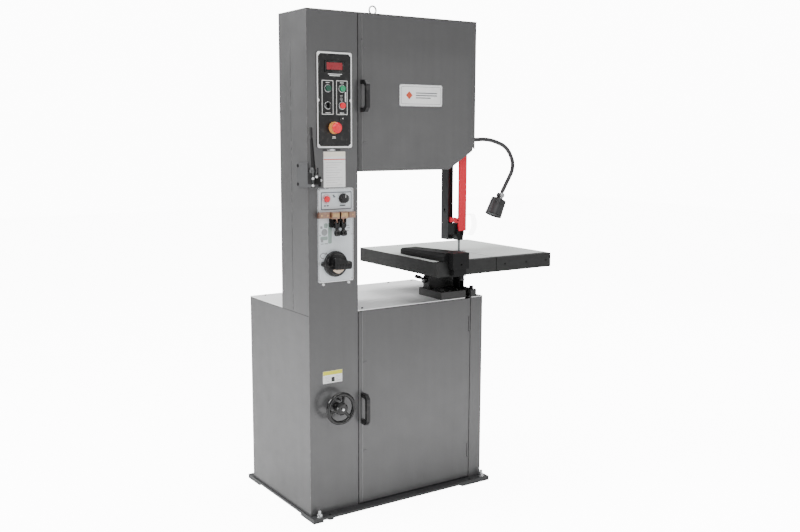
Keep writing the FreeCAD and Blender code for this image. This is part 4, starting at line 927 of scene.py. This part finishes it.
# ---- Stage, light, camera -----------------------------------------------------------
# The floor and the sky get extra light only where the camera looks straight at them. They
# show as the photo's white backdrop while the machine is lit by the softboxes and dim sky.
FLOOR_GLOW, SKY_GLOW = 11.0, 12.0
POOL_CENTRE = (0.7, -1.4, 0)      # bright patch of floor that lifts the cabinet's front
bm = bmesh.new()
bmesh.ops.create_grid(bm, x_segments=1, y_segments=1, size=14)
mesh = bpy.data.meshes.new("floor")
bm.to_mesh(mesh)
bm.free()
floor = bpy.data.objects.new("floor", mesh)
floor.location.z = CAD_BOX[0][2] - 0.0005
bpy.context.scene.collection.objects.link(floor)
g = Graph("floor_paint")
tone = g.blend(g.spread(g.noise(1.2, 3), 0, 1), (0.80, 0.80, 0.80), (0.84, 0.84, 0.84))
seen = g.add("LightPath").outputs["Is Camera Ray"]
reach = g.add("VectorMath", {0: g.place(), 1: POOL_CENTRE}, operation="DISTANCE")
pool = g.spread(reach.outputs["Value"], 0.62, 0.03, 0.5, 1.6)
glow = g.math("ADD", pool, g.math("MULTIPLY", seen, FLOOR_GLOW))
mesh.materials.append(g.surface(tone, 0.6, **{"Emission Color": (1, 1, 1, 1),
                                              "Emission Strength": glow}))

world = bpy.data.worlds.new("studio")
world.use_nodes = True
nodes, links = world.node_tree.nodes, world.node_tree.links
path = nodes.new("ShaderNodeLightPath")
split = nodes.new("ShaderNodeSeparateXYZ")
links.new(nodes.new("ShaderNodeTexCoord").outputs["Generated"], split.inputs[0])
sky = nodes.new("ShaderNodeMapRange")
for key, value in (("From Min", 0.0), ("From Max", 0.7), ("To Min", 0.16), ("To Max", 0.85)):
    sky.inputs[key].default_value = value
links.new(split.outputs[2], sky.inputs["Value"])
backdrop = nodes.new("ShaderNodeMath")
backdrop.operation = "MULTIPLY_ADD"
links.new(path.outputs["Is Camera Ray"], backdrop.inputs[0])
backdrop.inputs[1].default_value = SKY_GLOW
links.new(sky.outputs[0], backdrop.inputs[2])
nodes["Background"].inputs[0].default_value = (1, 1, 1, 1)
links.new(backdrop.outputs[0], nodes["Background"].inputs[1])
bpy.context.scene.world = world


def softbox(name, place, target, size, power):
    light = bpy.data.lights.new(name, "AREA")
    light.shape = "RECTANGLE"
    light.size, light.size_y = size
    light.energy = power
    lamp = bpy.data.objects.new(name, light)
    lamp.location = place
    lamp.rotation_euler = (Vector(target) - Vector(place)).to_track_quat("-Z", "Y").to_euler()
    bpy.context.scene.collection.objects.link(lamp)


middle = (CAD_BOX[0] + CAD_BOX[1]) / 2
upper = middle + Vector((0, 0, 0.6))
softbox("key_left", (-4.2, 1.4, 4.1), upper + Vector((0, 0, 0.3)), (2.2, 2.6), 430)
softbox("fill_right", (4.6, 0.8, 2.8), middle, (2.0, 2.4), 90)
softbox("front_high", (-0.8, -4.0, 4.0), upper, (1.6, 1.6), 46)
softbox("front_right", (2.6, -4.6, 1.5), middle, (1.8, 1.4), 14)
softbox("corner_strip", (-4.1, -2.75, 1.5), middle, (0.3, 3.2), 36)
softbox("overhead", (0.3, 0.2, 4.6), middle, (3.0, 3.0), 150)

CAMERA_AT, FOCAL_LENGTH = (-2.093, -3.3755, 1.522), 42.18
YAW, PITCH, ROLL = math.radians(33.848), math.radians(-8.176), math.radians(0.22)
forward = Vector((math.sin(YAW) * math.cos(PITCH), math.cos(YAW) * math.cos(PITCH),
                  math.sin(PITCH)))
right = Vector((math.cos(YAW), -math.sin(YAW), 0))
upward = right.cross(forward)
right, upward = (right * math.cos(ROLL) + upward * math.sin(ROLL),
                 upward * math.cos(ROLL) - right * math.sin(ROLL))
lens = bpy.data.cameras.new("camera")
lens.sensor_width = 36
lens.lens = FOCAL_LENGTH
camera = bpy.data.objects.new("camera", lens)
camera.matrix_world = (Matrix.Translation(CAMERA_AT)
                       @ Matrix((right, upward, -forward)).transposed().to_4x4())
bpy.context.scene.collection.objects.link(camera)
bpy.context.scene.camera = camera
